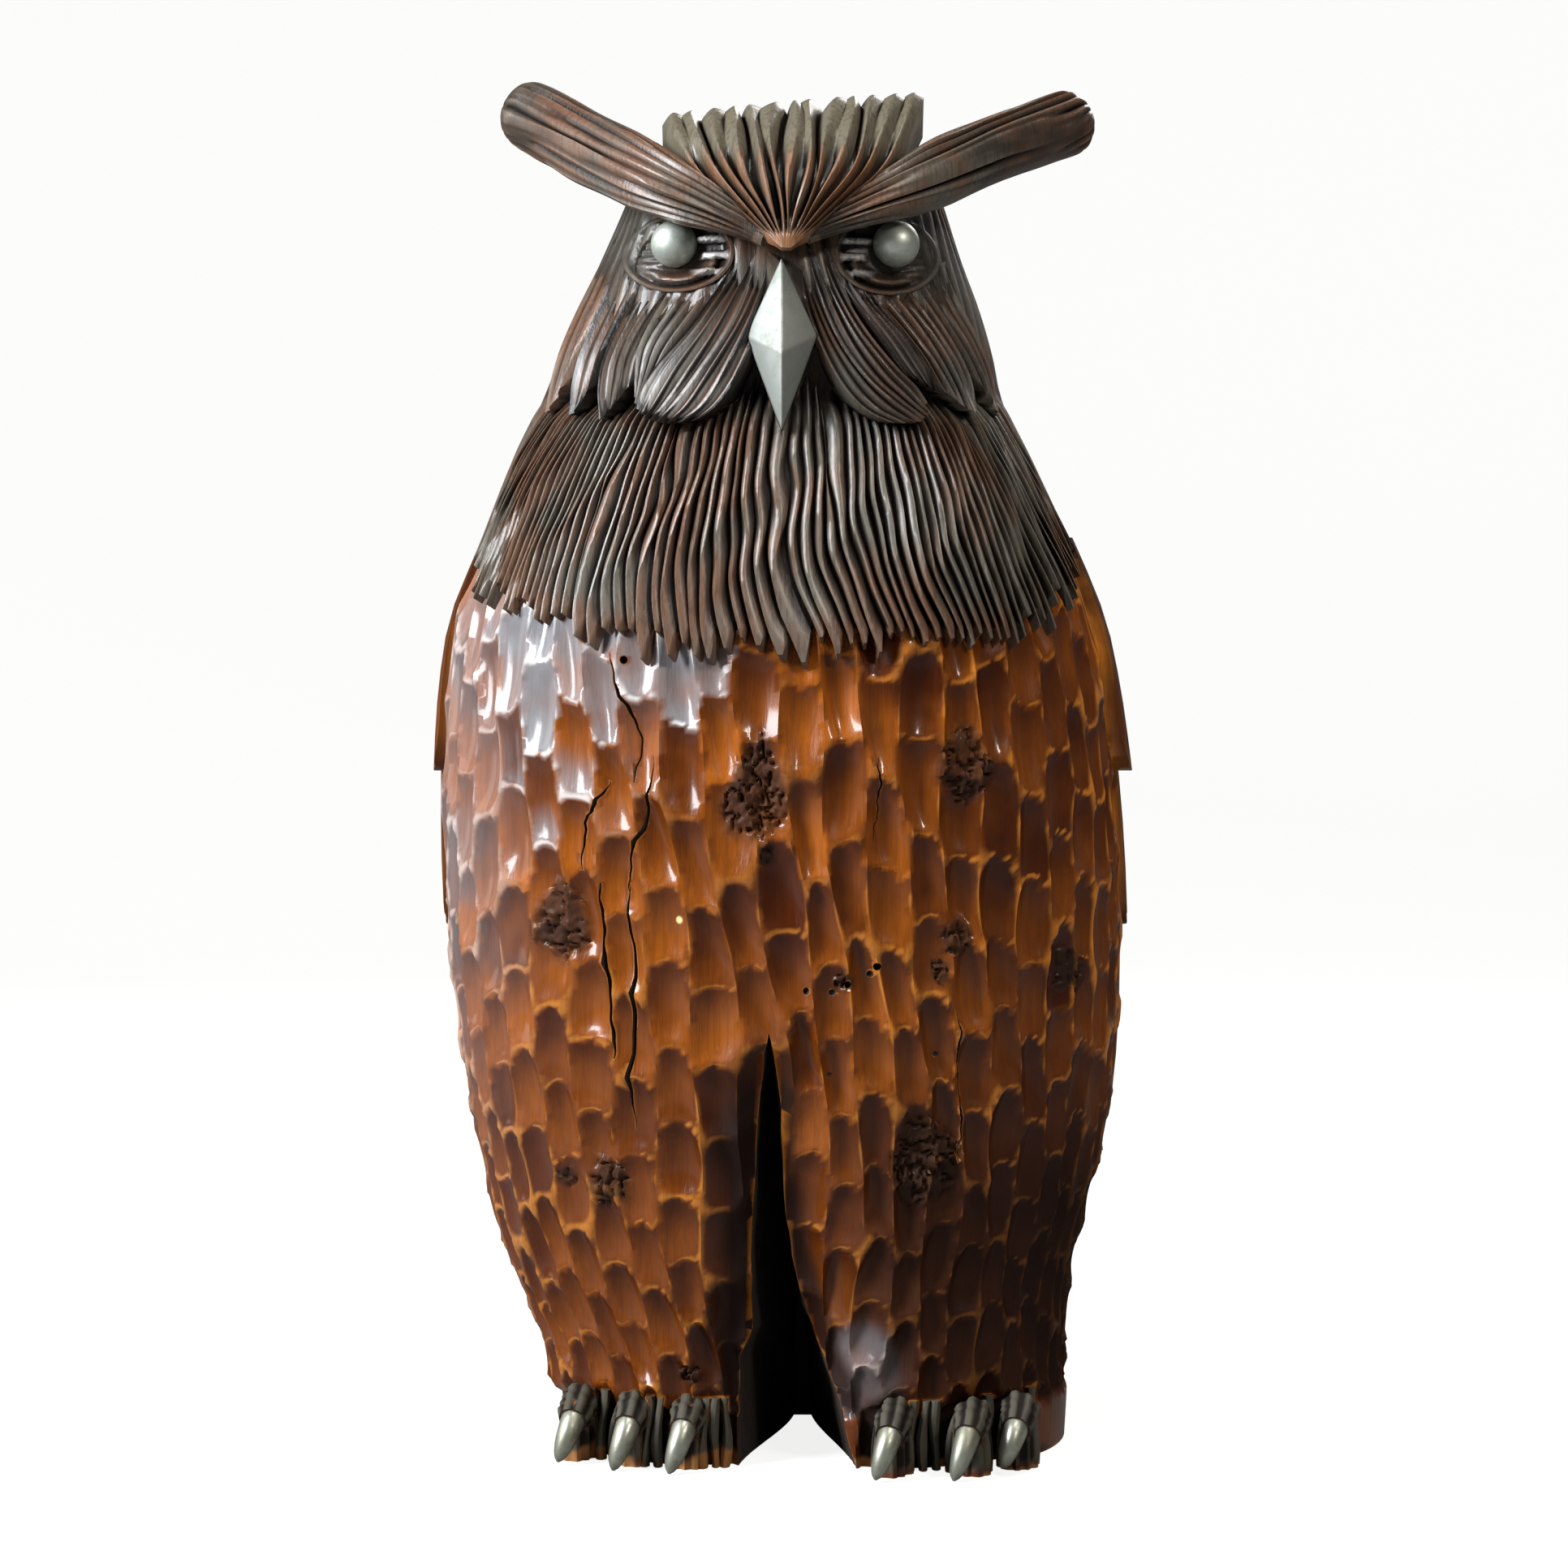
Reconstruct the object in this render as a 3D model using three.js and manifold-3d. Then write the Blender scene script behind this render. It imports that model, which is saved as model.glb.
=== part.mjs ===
// Carved wooden owl with metal eyes, beak and claws.
// Millimetres, +Z up. The owl faces -Y, and its right side in the front view is +X.
// The origin is on the floor, under the middle of the figure.
// The wood is one solid: a log with a split between the legs, a bib of long locks,
// a feathered face, a fluted forelock, two long ear tufts and folded wings at the back.

import * as THREE from 'three';
import { mergeVertices } from 'three/addons/utils/BufferGeometryUtils.js';
import Module from 'manifold-3d';

const wasm = await Module();
wasm.setup();
const { Manifold, Mesh } = wasm;

// Driving dimensions
const EYE_RADIUS = 10;
const EYES = [
  { name: 'eye_left', x: -47, y: -73, z: 522.5 },
  { name: 'eye_right', x: 48, y: -73, z: 522.5 },
];
const EYE_TURN = 0.45;
const BEAK = { x: -1, top: 515, widest: 482, tip: 441.5, halfWidth: 15, reach: 18, face: -94, back: -80 };
const CLAW_LENGTH = 30;
const CLAW_RADIUS = 5.6;
const CLAW_LEAN = 8;
const TOES = [
  { name: 'claw_left_1', x: -92, front: -86, wide: 11, tip: 3 },
  { name: 'claw_left_2', x: -68, front: -98, wide: 12, tip: 1.5 },
  { name: 'claw_left_3', x: -44, front: -105, wide: 11, tip: 1.5 },
  { name: 'claw_right_1', x: 43, front: -122, wide: 11, tip: 2.5 },
  { name: 'claw_right_2', x: 76, front: -120, wide: 12, tip: 1.5 },
  { name: 'claw_right_3', x: 97, front: -106, wide: 11, tip: 4 },
];
const TOE_HEIGHT = 35;
const CUFF_DEPTH = 6;
const FIT_GAP = 0.35;

// The log's outline: height, left and right half-width, front and back depth
const LOG = [
  [0, 106, 126, 110, 112],
  [20, 107, 127, 111, 115],
  [43, 110, 127, 112, 118],
  [60, 117, 128.5, 113, 121],
  [80, 125, 131, 115, 124],
  [105, 133, 138, 118, 127],
  [140, 140, 146, 122, 127],
  [180, 147, 150, 125, 128.5],
  [220, 151, 151, 127, 128.5],
  [260, 153, 150, 128, 127],
  [300, 153, 147, 127, 124],
  [335, 151, 143, 124, 118],
  [365, 146, 137, 120, 111],
  [400, 132, 123.5, 112, 101],
  [435, 118.5, 107.5, 102, 90],
  [460, 107.3, 97, 95, 82],
  [480, 99, 92.5, 91, 76],
  [500, 90.5, 86.5, 88, 71],
  [520, 81.5, 79, 85, 66],
  [545, 70.5, 71, 80, 56],
  [560, 65, 66, 73, 47],
  [571, 52, 54, 60, 34],
  [578, 34, 36, 42, 18],
];
const SQUARENESS = 2.3;
const FOOT_SKEW = 9;

// The split between the legs
const CLEFT = {
  top: 198,
  apexY: 26,
  apexX: 9,
  outline: [
    [-21, -2], [-21, 52], [-14, 66], [-15, 100], [-12, 150], [-7.5, 190], [-6, 198],
    [-4.5, 190], [-1.5, 165], [0, 130], [3, 100], [9, 76], [15, 60], [24, 32], [32, -2],
  ],
  valley: 30,
  valleyWidth: 52,
};

// Gouge marks run down the log in lanes, each mark a scoop with a steep top.
// The marks grow longer towards the chest.
const FRONT_LANES = 24;
const BACK_LANES = 8;
const SCOOPS = 9;
const SCOOP_DEPTH = 3;
const SCOOP_SHORT = 33;
const SCOOP_GROWTH = 12;
const SCOOP_LIP = 0.1;

// The bib of locks
const BIB_TOP = 452;
const BIB_SPREAD = 74;
const BIB_MIDDLE = 346;
const BIB_SIDE_RISE = 44;
const BIB_FLUTES = 20;
const BIB_GROOVE = 2.8;
const BIB_PROUD = 2;
const LOCK_POINT = 8;

// Face feathers: root, middle and tip in the front view (x, z), and half-width
const FACE_FEATHERS = [
  { root: [-78, 512], mid: [-93, 476], tip: [-103, 450], half: 5.5, lift: 3 },
  { root: [-65, 508], mid: [-82, 474], tip: [-91, 449], half: 7, lift: 4 },
  { root: [-50, 506], mid: [-66, 475], tip: [-75, 444], half: 10.5, lift: 5.5 },
  { root: [-12, 514], mid: [-33, 477], tip: [-47, 444], half: 21, lift: 8 },
  { root: [57, 506], mid: [76, 475], tip: [88, 449], half: 7.5, lift: 3.5 },
  { root: [42, 503], mid: [60, 475], tip: [72, 451], half: 9, lift: 4.5 },
  { root: [26, 507], mid: [43, 477], tip: [58, 456], half: 10, lift: 9 },
  { root: [10, 514], mid: [27, 473], tip: [50, 443], half: 14, lift: 7 },
];
const FEATHER_STEPS = [1, 0.88, 0.66, 0.36, 0];
const FEATHER_BLUNT = 0.45;

// Folded wings, mirrored: rows of feathers, lowest first. Angles are from the front,
// and each row runs from its front edge to its back edge.
const WING_ROWS = [
  { angles: [96, 152], top: [304, 318], bottom: [126, 168], feathers: 5, lift: 4 },
  { angles: [92, 143], top: [372, 378], bottom: [222, 246], feathers: 5, lift: 6.5 },
  { angles: [84, 130], top: [396, 416], bottom: [293, 306], feathers: 4, lift: 9 },
];
const WING_PROUD_LEFT = 0.4;
const FEATHER_POINT = 16;

// Ear tufts: points along the middle, from the forelock to the tip, and half-height
const EARS = [
  { path: [[-7, -96, 524], [-44, -84, 543], [-80, -46, 564], [-108, -10, 582.5], [-122, 2, 589.5]], high: 16 },
  { path: [[9, -96, 525], [48, -84, 543], [86, -46, 564], [121, -8, 580], [135, 4, 586]], high: 14.5 },
];
const EAR_STEPS = [0, 0.22, 0.45, 0.68, 0.86, 0.96, 1];

// Forelock: a fan of flutes from one point over the brow to the crown
const FORELOCK = {
  flutes: 10,
  deep: 4.2,
  rows: [
    { left: [-1, -107, 518], right: [3, -107, 518], bow: 0 },
    { left: [-18, -98, 533], right: [22, -98, 534], bow: 8 },
    { left: [-40, -84, 553], right: [46, -84, 555], bow: 17 },
    { left: [-51, -66, 573], right: [58, -64, 582], bow: 13 },
    { left: [-52, -46, 580.5], right: [60, -42, 590], bow: 8 },
    { left: [-46, 20, 571], right: [52, 22, 576], bow: 0 },
  ],
};

const WOOD = new THREE.MeshStandardMaterial({ color: 0x6b3a1c, roughness: 0.35, metalness: 0 });
const METAL = new THREE.MeshStandardMaterial({ color: 0xa9aea6, roughness: 0.35, metalness: 1 });

// Small helpers

const degrees = (angle) => (angle * Math.PI) / 180;
const mix = (a, b, t) => a + (b - a) * t;

function ramp(from, to, value) {
  const t = Math.min(1, Math.max(0, (value - from) / (to - from)));
  return t * t * (3 - 2 * t);
}

// A repeatable number from 0 to 1 for each pair of whole numbers
function chance(i, j) {
  const value = Math.sin(i * 12.9898 + j * 78.233) * 43758.5453;
  return value - Math.floor(value);
}

// The rows of a table, joined by a smooth curve, at one value of their first column
function smoothRow(rows, at) {
  const last = rows.length - 1;
  let i = 0;
  while (i < last - 1 && at > rows[i + 1][0]) i += 1;
  const [low, high] = [rows[i], rows[i + 1]];
  const before = rows[Math.max(0, i - 1)];
  const after = rows[Math.min(last, i + 2)];
  const span = high[0] - low[0];
  const t = Math.min(1, Math.max(0, (at - low[0]) / span));
  return low.slice(1).map((value, k) => {
    const slopeLow = ((high[k + 1] - before[k + 1]) / (high[0] - before[0])) * span;
    const slopeHigh = ((after[k + 1] - value) / (after[0] - low[0])) * span;
    const rise = high[k + 1] - value;
    return value + t * (slopeLow + t * (3 * rise - 2 * slopeLow - slopeHigh
      + t * (slopeLow + slopeHigh - 2 * rise)));
  });
}

// The log's surface

// Angle is measured from the front, positive towards +X
function logPoint(angle, height, offset = 0) {
  const [left, right, front, back] = smoothRow(LOG, height);
  const power = 2 / SQUARENESS;
  const side = Math.sin(angle);
  const ahead = Math.cos(angle);
  const wide = side > 0 ? right : left;
  const skew = FOOT_SKEW * side * (1 - ramp(40, 190, height));
  const deep = ahead > 0 ? front + skew : back;
  let x = wide * Math.sign(side) * Math.abs(side) ** power;
  let y = -deep * Math.sign(ahead) * Math.abs(ahead) ** power;
  const reach = Math.hypot(x, y);
  x += (x / reach) * offset;
  y += (y / reach) * offset;
  if (ahead > 0) y += valley(x, height);
  return new THREE.Vector3(x, y, height);
}

// The legs round off towards the split
function valley(x, height) {
  const open = 1 - ramp(30, CLEFT.top + 8, height);
  const middle = mix(-6, 3, open);
  const near = 1 - Math.abs(x - middle) / (10 + CLEFT.valleyWidth * open);
  return near > 0 ? CLEFT.valley * open ** 0.8 * near ** 1.7 : 0;
}

// The angle whose surface point has this x at this height
function angleOf(x, height) {
  const [left, right] = smoothRow(LOG, height);
  const share = Math.min(0.999, Math.abs(x) / (x > 0 ? right : left));
  return Math.sign(x) * Math.asin(share ** (SQUARENESS / 2));
}

// Gouge marks

function laneAngle(lane) {
  if (lane <= FRONT_LANES) return degrees(-90 + (180 * lane) / FRONT_LANES);
  return degrees(90 + (180 * (lane - FRONT_LANES)) / BACK_LANES);
}

// The height reached by a number of scoops, counted up from the floor
function scoopHeight(count) {
  const rate = SCOOP_GROWTH / 350;
  return ((Math.exp(rate * count) - 1) * SCOOP_SHORT) / rate;
}

// The bib's lower edge rises towards the sides
function hemHeight(angle) {
  const turned = Math.min(1, Math.abs(angle) / degrees(BIB_SPREAD));
  return BIB_MIDDLE + BIB_SIDE_RISE * turned ** 2.2;
}

// Closed meshes and solids

function solidOf(geometry) {
  const bare = geometry.clone();
  bare.deleteAttribute('normal');
  bare.deleteAttribute('uv');
  const merged = mergeVertices(bare, 1e-4);
  return new Manifold(new Mesh({
    numProp: 3,
    vertProperties: new Float32Array(merged.attributes.position.array),
    triVerts: new Uint32Array(merged.index.array),
  }));
}

function geometryOf(solid) {
  const mesh = solid.getMesh();
  const geometry = new THREE.BufferGeometry();
  geometry.setAttribute('position', new THREE.BufferAttribute(mesh.vertProperties, 3));
  geometry.setIndex(new THREE.BufferAttribute(mesh.triVerts, 1));
  geometry.computeVertexNormals();
  return geometry;
}

// A closed tube of rings: place(column, row) gives each ring point, and the ends are fans
function ringSolid(columns, rows, place) {
  const geometry = new THREE.CylinderGeometry(1, 1, 1, columns, rows);
  const points = geometry.attributes.position;
  const bottom = new THREE.Vector3();
  const top = new THREE.Vector3();
  for (let k = 0; k < columns; k += 1) {
    bottom.addScaledVector(place(k, 0), 1 / columns);
    top.addScaledVector(place(k, rows), 1 / columns);
  }
  for (let n = 0; n < points.count; n += 1) {
    const [x, y, z] = [points.getX(n), points.getY(n), points.getZ(n)];
    const turn = (Math.atan2(x, z) / (2 * Math.PI) + 1) % 1;
    const row = Math.round((y + 0.5) * rows);
    let at = place(Math.round(turn * columns) % columns, row);
    if (Math.hypot(x, z) < 0.5) at = row === 0 ? bottom : top;
    points.setXYZ(n, at.x, at.y, at.z);
  }
  return solidOf(geometry);
}

// A closed slab with a shaped front: place(across, along, isFront), across and along from 0 to 1
function slabSolid(columns, rows, place) {
  const geometry = new THREE.BoxGeometry(1, 1, 1, columns, rows, 1);
  const points = geometry.attributes.position;
  for (let n = 0; n < points.count; n += 1) {
    const at = place(points.getX(n) + 0.5, points.getY(n) + 0.5, points.getZ(n) > 0);
    points.setXYZ(n, at.x, at.y, at.z);
  }
  return solidOf(geometry);
}

function ball(x, y, z, wide, deep, high, columns = 12, rows = 6, turn = 0) {
  const geometry = new THREE.SphereGeometry(1, columns, rows);
  geometry.rotateX(Math.PI / 2);
  geometry.scale(wide, deep, high);
  geometry.rotateZ(turn);
  geometry.translate(x, y, z);
  return solidOf(geometry);
}

// The log, up to just inside the bib. Columns run along the ridges between the lanes and
// down the middle of each lane, and each scoop has one row under its lip and one over it.
function trunk() {
  const lanes = FRONT_LANES + BACK_LANES;
  const rows = SCOOPS * 2;
  return ringSolid(lanes * 2, rows, (column, row) => {
    const angle = laneAngle(column / 2);
    const wrapped = angle > Math.PI ? angle - 2 * Math.PI : angle;
    const top = hemHeight(wrapped) + 3;
    if (row === rows) return logPoint(angle, top + 12, -8);
    if (row === 0) return logPoint(angle, 0, -cuff(angle, 0));
    const lane = Math.floor(column / 2);
    const isMiddle = column % 2 === 1;
    const isUnderLip = row % 2 === 1;
    const shift = isMiddle ? 0.7 * (chance(lane, 1) - 0.5) + 0.2 * (chance(lane, row) - 0.5) : 0;
    const count = Math.ceil(row / 2) + shift + (isUnderLip ? -SCOOP_LIP : SCOOP_LIP);
    const height = Math.min(top, (scoopHeight(count) * top) / scoopHeight(SCOOPS));
    const depth = SCOOP_DEPTH * (0.8 + 0.4 * chance(row, lane + 7)) * (isUnderLip ? 1 : 0.3);
    const cut = isMiddle && height > TOE_HEIGHT ? depth : 0;
    return logPoint(angle, height, -cut - cuff(angle, height));
  });
}

// The front of each leg is cut back over the toes
function cuff(angle, height) {
  const front = ramp(0.05, 0.25, Math.cos(angle));
  return CUFF_DEPTH * front * (1 - ramp(TOE_HEIGHT - 2, TOE_HEIGHT + 5, height));
}

// Locks sway to the left at mid-length and flick to the right at their ends
function lockAngle(share, fall) {
  const sway = -4 * Math.sin(Math.PI * Math.min(1, fall)) * (1 - ramp(0.25, 0.6, share));
  const flick = 3 * ramp(0.7, 1.05, fall) + 5 * Math.max(0, share) * fall ** 2;
  return degrees(BIB_SPREAD * share * (1 + 0.04 * fall) + sway + flick);
}

// Columns run along the crest of each lock and along the groove between two locks
function bib() {
  const fluted = BIB_FLUTES * 2;
  const plain = 10;
  const falls = [1, 0.93, 0.66, 0.34, 0];
  return ringSolid(fluted + plain, falls.length - 1, (column, row) => {
    const fall = falls[row];
    const isCrest = column % 2 === 1;
    let angle = lockAngle((column / fluted) * 2 - 1, fall);
    let groove = isCrest ? 0 : BIB_GROOVE;
    if (column > fluted) {
      const start = lockAngle(-1, fall) + 2 * Math.PI;
      angle = mix(lockAngle(1, fall), start, (column - fluted) / plain);
      groove = 0;
    }
    const wrapped = angle > Math.PI ? angle - 2 * Math.PI : angle;
    const point = isCrest && column < fluted ? LOCK_POINT : 0;
    const hem = hemHeight(wrapped) + 2 - point * (0.5 + chance(column, 3));
    const height = mix(BIB_TOP, hem, fall);
    const sink = row === 0 ? 5 : 0;
    return logPoint(angle, height, BIB_PROUD * ramp(0, 0.5, fall) - groove - sink);
  });
}

function head() {
  const columns = 24;
  const rows = 6;
  return ringSolid(columns, rows, (column, row) => {
    const height = mix(438, 578, row / rows);
    const angle = (2 * Math.PI * column) / columns;
    const chin = 7 * (1 - ramp(446, 462, height)) * ramp(0.2, 0.6, Math.cos(angle));
    const neck = (Math.cos(angle) > 0 ? 6 : 2) * (1 - ramp(438, 456, height));
    return logPoint(angle, height, -Math.max(chin, neck));
  });
}

// A feather lies on the log's surface; its path is given as angle and height
function feather(path, half, lift, columns) {
  const [root, mid, tip] = path;
  const at = (t) => {
    const [a, b, c] = [(1 - t) * (1 - 2 * t), 4 * t * (1 - t), t * (2 * t - 1)];
    return [0, 1].map((k) => a * root[k] + b * mid[k] + c * tip[k]);
  };
  return slabSolid(columns, FEATHER_STEPS.length - 1, (across, along, isFront) => {
    const t = FEATHER_STEPS[Math.round(along * (FEATHER_STEPS.length - 1))];
    const [angle, height] = at(t);
    const [angleOn, heightOn] = at(t + 0.01);
    const here = logPoint(angle, height);
    const on = logPoint(angleOn, heightOn);
    const radius = Math.hypot(here.x, here.y);
    const dz = on.z - here.z;
    const ds = (angleOn - angle) * radius;
    const length = Math.hypot(ds, dz);
    const side = across * 2 - 1;
    const blunt = mix(1, FEATHER_BLUNT, Math.max(0, (t - 0.66) / 0.34) ** 2);
    const reach = side * half * (0.35 + 0.65 * ramp(0, 0.55, t)) * blunt;
    const crown = lift * (0.55 + 0.45 * t) * (1 - 0.35 * side ** 2);
    const turned = angle - ((dz / length) * reach) / radius;
    return logPoint(turned, height + (ds / length) * reach, isFront ? crown : -7);
  });
}

function faceFeather({ root, mid, tip, half, lift }) {
  const path = [root, mid, tip].map(([x, z]) => [angleOf(x, z), z]);
  return feather(path, half, lift, half > 8.5 ? 4 : 2);
}

// A row of wing feathers: one plate with a ridge down each feather and a point at its end
function wingRow({ angles, top, bottom, feathers, lift }, side) {
  const columns = feathers * 2;
  const rows = 3;
  return slabSolid(columns, rows, (across, along, isFront) => {
    const column = Math.round(across * columns);
    const isEdge = column % 2 === 0;
    const turn = side * degrees(mix(angles[0], angles[1], across));
    const low = mix(bottom[0], bottom[1], across) + (isEdge ? FEATHER_POINT : 0);
    const height = mix(low, mix(top[0], top[1], across), along);
    const proud = side < 0 ? WING_PROUD_LEFT : 1;
    const crown = proud * lift * (1 - 0.6 * along) * (isEdge ? 0.55 : 1);
    return logPoint(turn, height, isFront === side > 0 ? crown : -6);
  });
}

// An ear tuft runs from the forelock, over the eye, out to a blunt tip
function ear({ path, high }) {
  const curve = new THREE.CatmullRomCurve3(path.map((p) => new THREE.Vector3(...p)));
  const columns = 10;
  return ringSolid(columns, EAR_STEPS.length - 1, (column, row) => {
    const t = EAR_STEPS[row];
    const centre = curve.getPoint(t);
    const along = curve.getTangent(t);
    const across = new THREE.Vector3(0, 0, 1).cross(along).normalize();
    const up = along.clone().cross(across);
    const end = Math.sqrt(Math.max(0, 1 - Math.max(0, (t - 0.84) / 0.16) ** 2));
    const radius = high * (0.35 + 0.65 * ramp(0, 0.4, t)) * Math.max(0.25, end);
    const ridge = column % 2 ? 0 : 1.3 * ramp(0, 0.3, t);
    const turn = (2 * Math.PI * column) / columns;
    return centre
      .addScaledVector(across, Math.cos(turn) * (radius * 0.85 - ridge))
      .addScaledVector(up, Math.sin(turn) * (radius - ridge));
  });
}

function forelock() {
  const { rows, flutes, deep } = FORELOCK;
  return slabSolid(flutes * 2, rows.length - 1, (across, along, isFront) => {
    const row = Math.round(along * (rows.length - 1));
    const { left, right, bow } = rows[row];
    const [x, y, z] = left.map((value, k) => mix(value, right[k], across));
    const bulge = bow * (1 - (across * 2 - 1) ** 2);
    const point = new THREE.Vector3(x, y - bulge, z);
    const outward = new THREE.Vector3(0, -80 - y * -0.4, z - 470).normalize();
    const isGroove = Math.round(across * flutes * 2) % 2 === 0;
    const groove = isGroove ? deep * ramp(0, 2.5, row) : 0;
    const depth = 3 + 13 * ramp(0, 1, row) + 8 * ramp(2, 4, row);
    return point.addScaledVector(outward, isFront ? -groove : -depth);
  });
}

// The hollow round each eye, and the raised disc that the ball sits on

function eyeHollow({ x, z }) {
  return ball(x * 0.98, -86, z - 2, 25, 19, 16.5, 12, 6, Math.sign(x) * EYE_TURN);
}

function eyeDisc({ x, z }) {
  return ball(x, -66, z - 1.5, 20, 7, 13.5, 12, 6, Math.sign(x) * EYE_TURN);
}

function legSplit() {
  const shape = new THREE.Shape(CLEFT.outline.map(([x, z]) => new THREE.Vector2(x, z)));
  const front = 150;
  const geometry = new THREE.ExtrudeGeometry(shape, { depth: 1, steps: 3, bevelEnabled: false });
  const points = geometry.attributes.position;
  for (let n = 0; n < points.count; n += 1) {
    const depth = points.getZ(n);
    const narrow = mix(1, 0.12, ramp(0.2, 1.1, depth));
    const x = mix(CLEFT.apexX, points.getX(n), narrow);
    const z = points.getY(n) * mix(1, 0.72, depth);
    points.setXYZ(n, x, mix(-front, CLEFT.apexY, depth), z);
  }
  geometry.index = null;
  const order = geometry.attributes.position.array;
  for (let n = 0; n < order.length; n += 9) {
    for (let k = 0; k < 3; k += 1) [order[n + k], order[n + 3 + k]] = [order[n + 3 + k], order[n + k]];
  }
  return solidOf(geometry);
}

// Feet

function toe({ x, front, wide }) {
  return ball(x, front + 20, 9, wide, 22, 25, 8, 5);
}

// A claw starts inside its toe and curves down and to the left, to a blunt point
function claw({ x, front, tip }, grow = 0) {
  const start = new THREE.Vector3(x + CLAW_LEAN * 0.5, front + 14, 26);
  const bend = new THREE.Vector3(x + CLAW_LEAN * 0.3, front - 7, 24);
  const end = new THREE.Vector3(x - CLAW_LEAN * 0.6, front - 6, tip);
  const curve = new THREE.QuadraticBezierCurve3(start, bend, end);
  const columns = 6;
  const rows = 4;
  return ringSolid(columns, rows, (column, row) => {
    const t = row / rows;
    const along = curve.getTangent(t);
    const across = new THREE.Vector3(1, 0, 0).addScaledVector(along, -along.x).normalize();
    const up = along.clone().cross(across);
    const radius = CLAW_RADIUS * Math.sqrt(Math.max(0.05, 1 - t ** 2.2)) * mix(1, 0.8, t) + grow;
    const turn = (2 * Math.PI * column) / columns;
    return curve.getPoint(t)
      .addScaledVector(along, grow * (row === 0 ? -1 : row === rows ? 1 : 0))
      .addScaledVector(across, Math.cos(turn) * radius * 0.85)
      .addScaledVector(up, Math.sin(turn) * radius);
  });
}

// The beak is a long kite with a raised keel
function beak(grow = 0) {
  const { x, top, widest, tip, halfWidth, reach, face, back } = BEAK;
  const half = halfWidth + grow;
  const outline = [[0, top + grow * 2], [-half, widest], [0, tip - grow * 2], [half, widest]];
  const geometry = new THREE.CylinderGeometry(1, 1, 1, 4, 1);
  const points = geometry.attributes.position;
  for (let n = 0; n < points.count; n += 1) {
    const [px, py, pz] = [points.getX(n), points.getY(n), points.getZ(n)];
    const isFront = py > 0;
    if (Math.hypot(px, pz) < 0.5) {
      points.setXYZ(n, x, isFront ? face - reach - grow : back + grow, isFront ? widest - 8 : widest);
    } else {
      const corner = Math.round((Math.atan2(px, pz) / (2 * Math.PI) + 1) * 4) % 4;
      const [ox, oz] = outline[corner];
      const lean = corner === 2 ? -12 : 0;
      points.setXYZ(n, x + ox, isFront ? face + lean - grow : back + grow, oz);
    }
  }
  return solidOf(geometry);
}

// The owl

function carvedBody() {
  const parts = [trunk(), bib(), head(), forelock(), ...EARS.map(ear)];
  parts.push(...FACE_FEATHERS.map(faceFeather));
  for (const side of [-1, 1]) parts.push(...WING_ROWS.map((row) => wingRow(row, side)));
  let body = parts[0];
  for (const part of parts.slice(1)) body = body.add(part);
  for (const eye of EYES) body = body.subtract(eyeHollow(eye)).add(eyeDisc(eye));
  body = body.subtract(legSplit());
  for (const one of TOES) body = body.add(toe(one));
  const floor = solidOf(new THREE.BoxGeometry(400, 400, 40).translate(0, 0, -20));
  body = body.subtract(floor);
  for (const { x, y, z } of EYES) {
    const socket = EYE_RADIUS + FIT_GAP;
    body = body.subtract(ball(x, y, z, socket, socket, socket, 12, 8));
  }
  for (const one of TOES) body = body.subtract(claw(one, FIT_GAP));
  return body.subtract(beak(FIT_GAP));
}

const owl = new THREE.Group();

function addPiece(name, solid, material) {
  const piece = new THREE.Mesh(geometryOf(solid), material);
  piece.name = name;
  owl.add(piece);
}

addPiece('carved_body', carvedBody(), WOOD);
for (const { name, x, y, z } of EYES) {
  addPiece(name, ball(x, y, z, EYE_RADIUS, EYE_RADIUS, EYE_RADIUS, 12, 8), METAL);
}
addPiece('beak', beak(), METAL);
for (const one of TOES) addPiece(one.name, claw(one), METAL);

export default owl;
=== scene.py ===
# %% [markdown]
# # A carved owl with metal eyes, beak and claws
# The owl is one log. A carver has cut ears, a forelock, a feathered face, a bib of long
# locks, gouged flanks, folded wings and toes into it, and has set eyes, a beak and claws of
# cast metal in the wood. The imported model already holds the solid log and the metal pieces
# in their places, so this lesson carves the fine surface over the same form.

import math

import bmesh
import bpy
import numpy as np
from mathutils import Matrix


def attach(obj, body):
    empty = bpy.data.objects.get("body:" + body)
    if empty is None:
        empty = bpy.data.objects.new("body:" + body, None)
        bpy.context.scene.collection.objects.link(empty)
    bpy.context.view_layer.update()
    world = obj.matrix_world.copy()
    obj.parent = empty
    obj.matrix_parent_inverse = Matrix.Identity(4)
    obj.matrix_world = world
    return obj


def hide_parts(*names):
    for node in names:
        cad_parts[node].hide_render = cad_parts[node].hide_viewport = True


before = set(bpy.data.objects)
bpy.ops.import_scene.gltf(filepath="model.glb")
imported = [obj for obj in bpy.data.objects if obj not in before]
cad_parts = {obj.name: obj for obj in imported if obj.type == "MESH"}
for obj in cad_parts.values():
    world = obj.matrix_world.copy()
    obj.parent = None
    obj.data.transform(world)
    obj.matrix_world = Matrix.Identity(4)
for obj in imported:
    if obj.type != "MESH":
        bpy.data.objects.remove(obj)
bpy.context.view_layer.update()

# %% [markdown]
# ## Camera, floor and light
# The picture was taken from straight in front, a little above the middle of the owl and
# looking slightly down. A long lens keeps the outline nearly flat. The image is 1932 pixels
# square, and the horizon lies on row 765.

# %% Place the camera
IMAGE_SIZE = 1932
FOCAL_PIXELS = 5241
HORIZON_ROW = 765
MIDDLE_COLUMN = 966.5
TILT_EVENING = 4
CAMERA_DISTANCE = 1900
CAMERA_HEIGHT = 360
MM = 0.001

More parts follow.
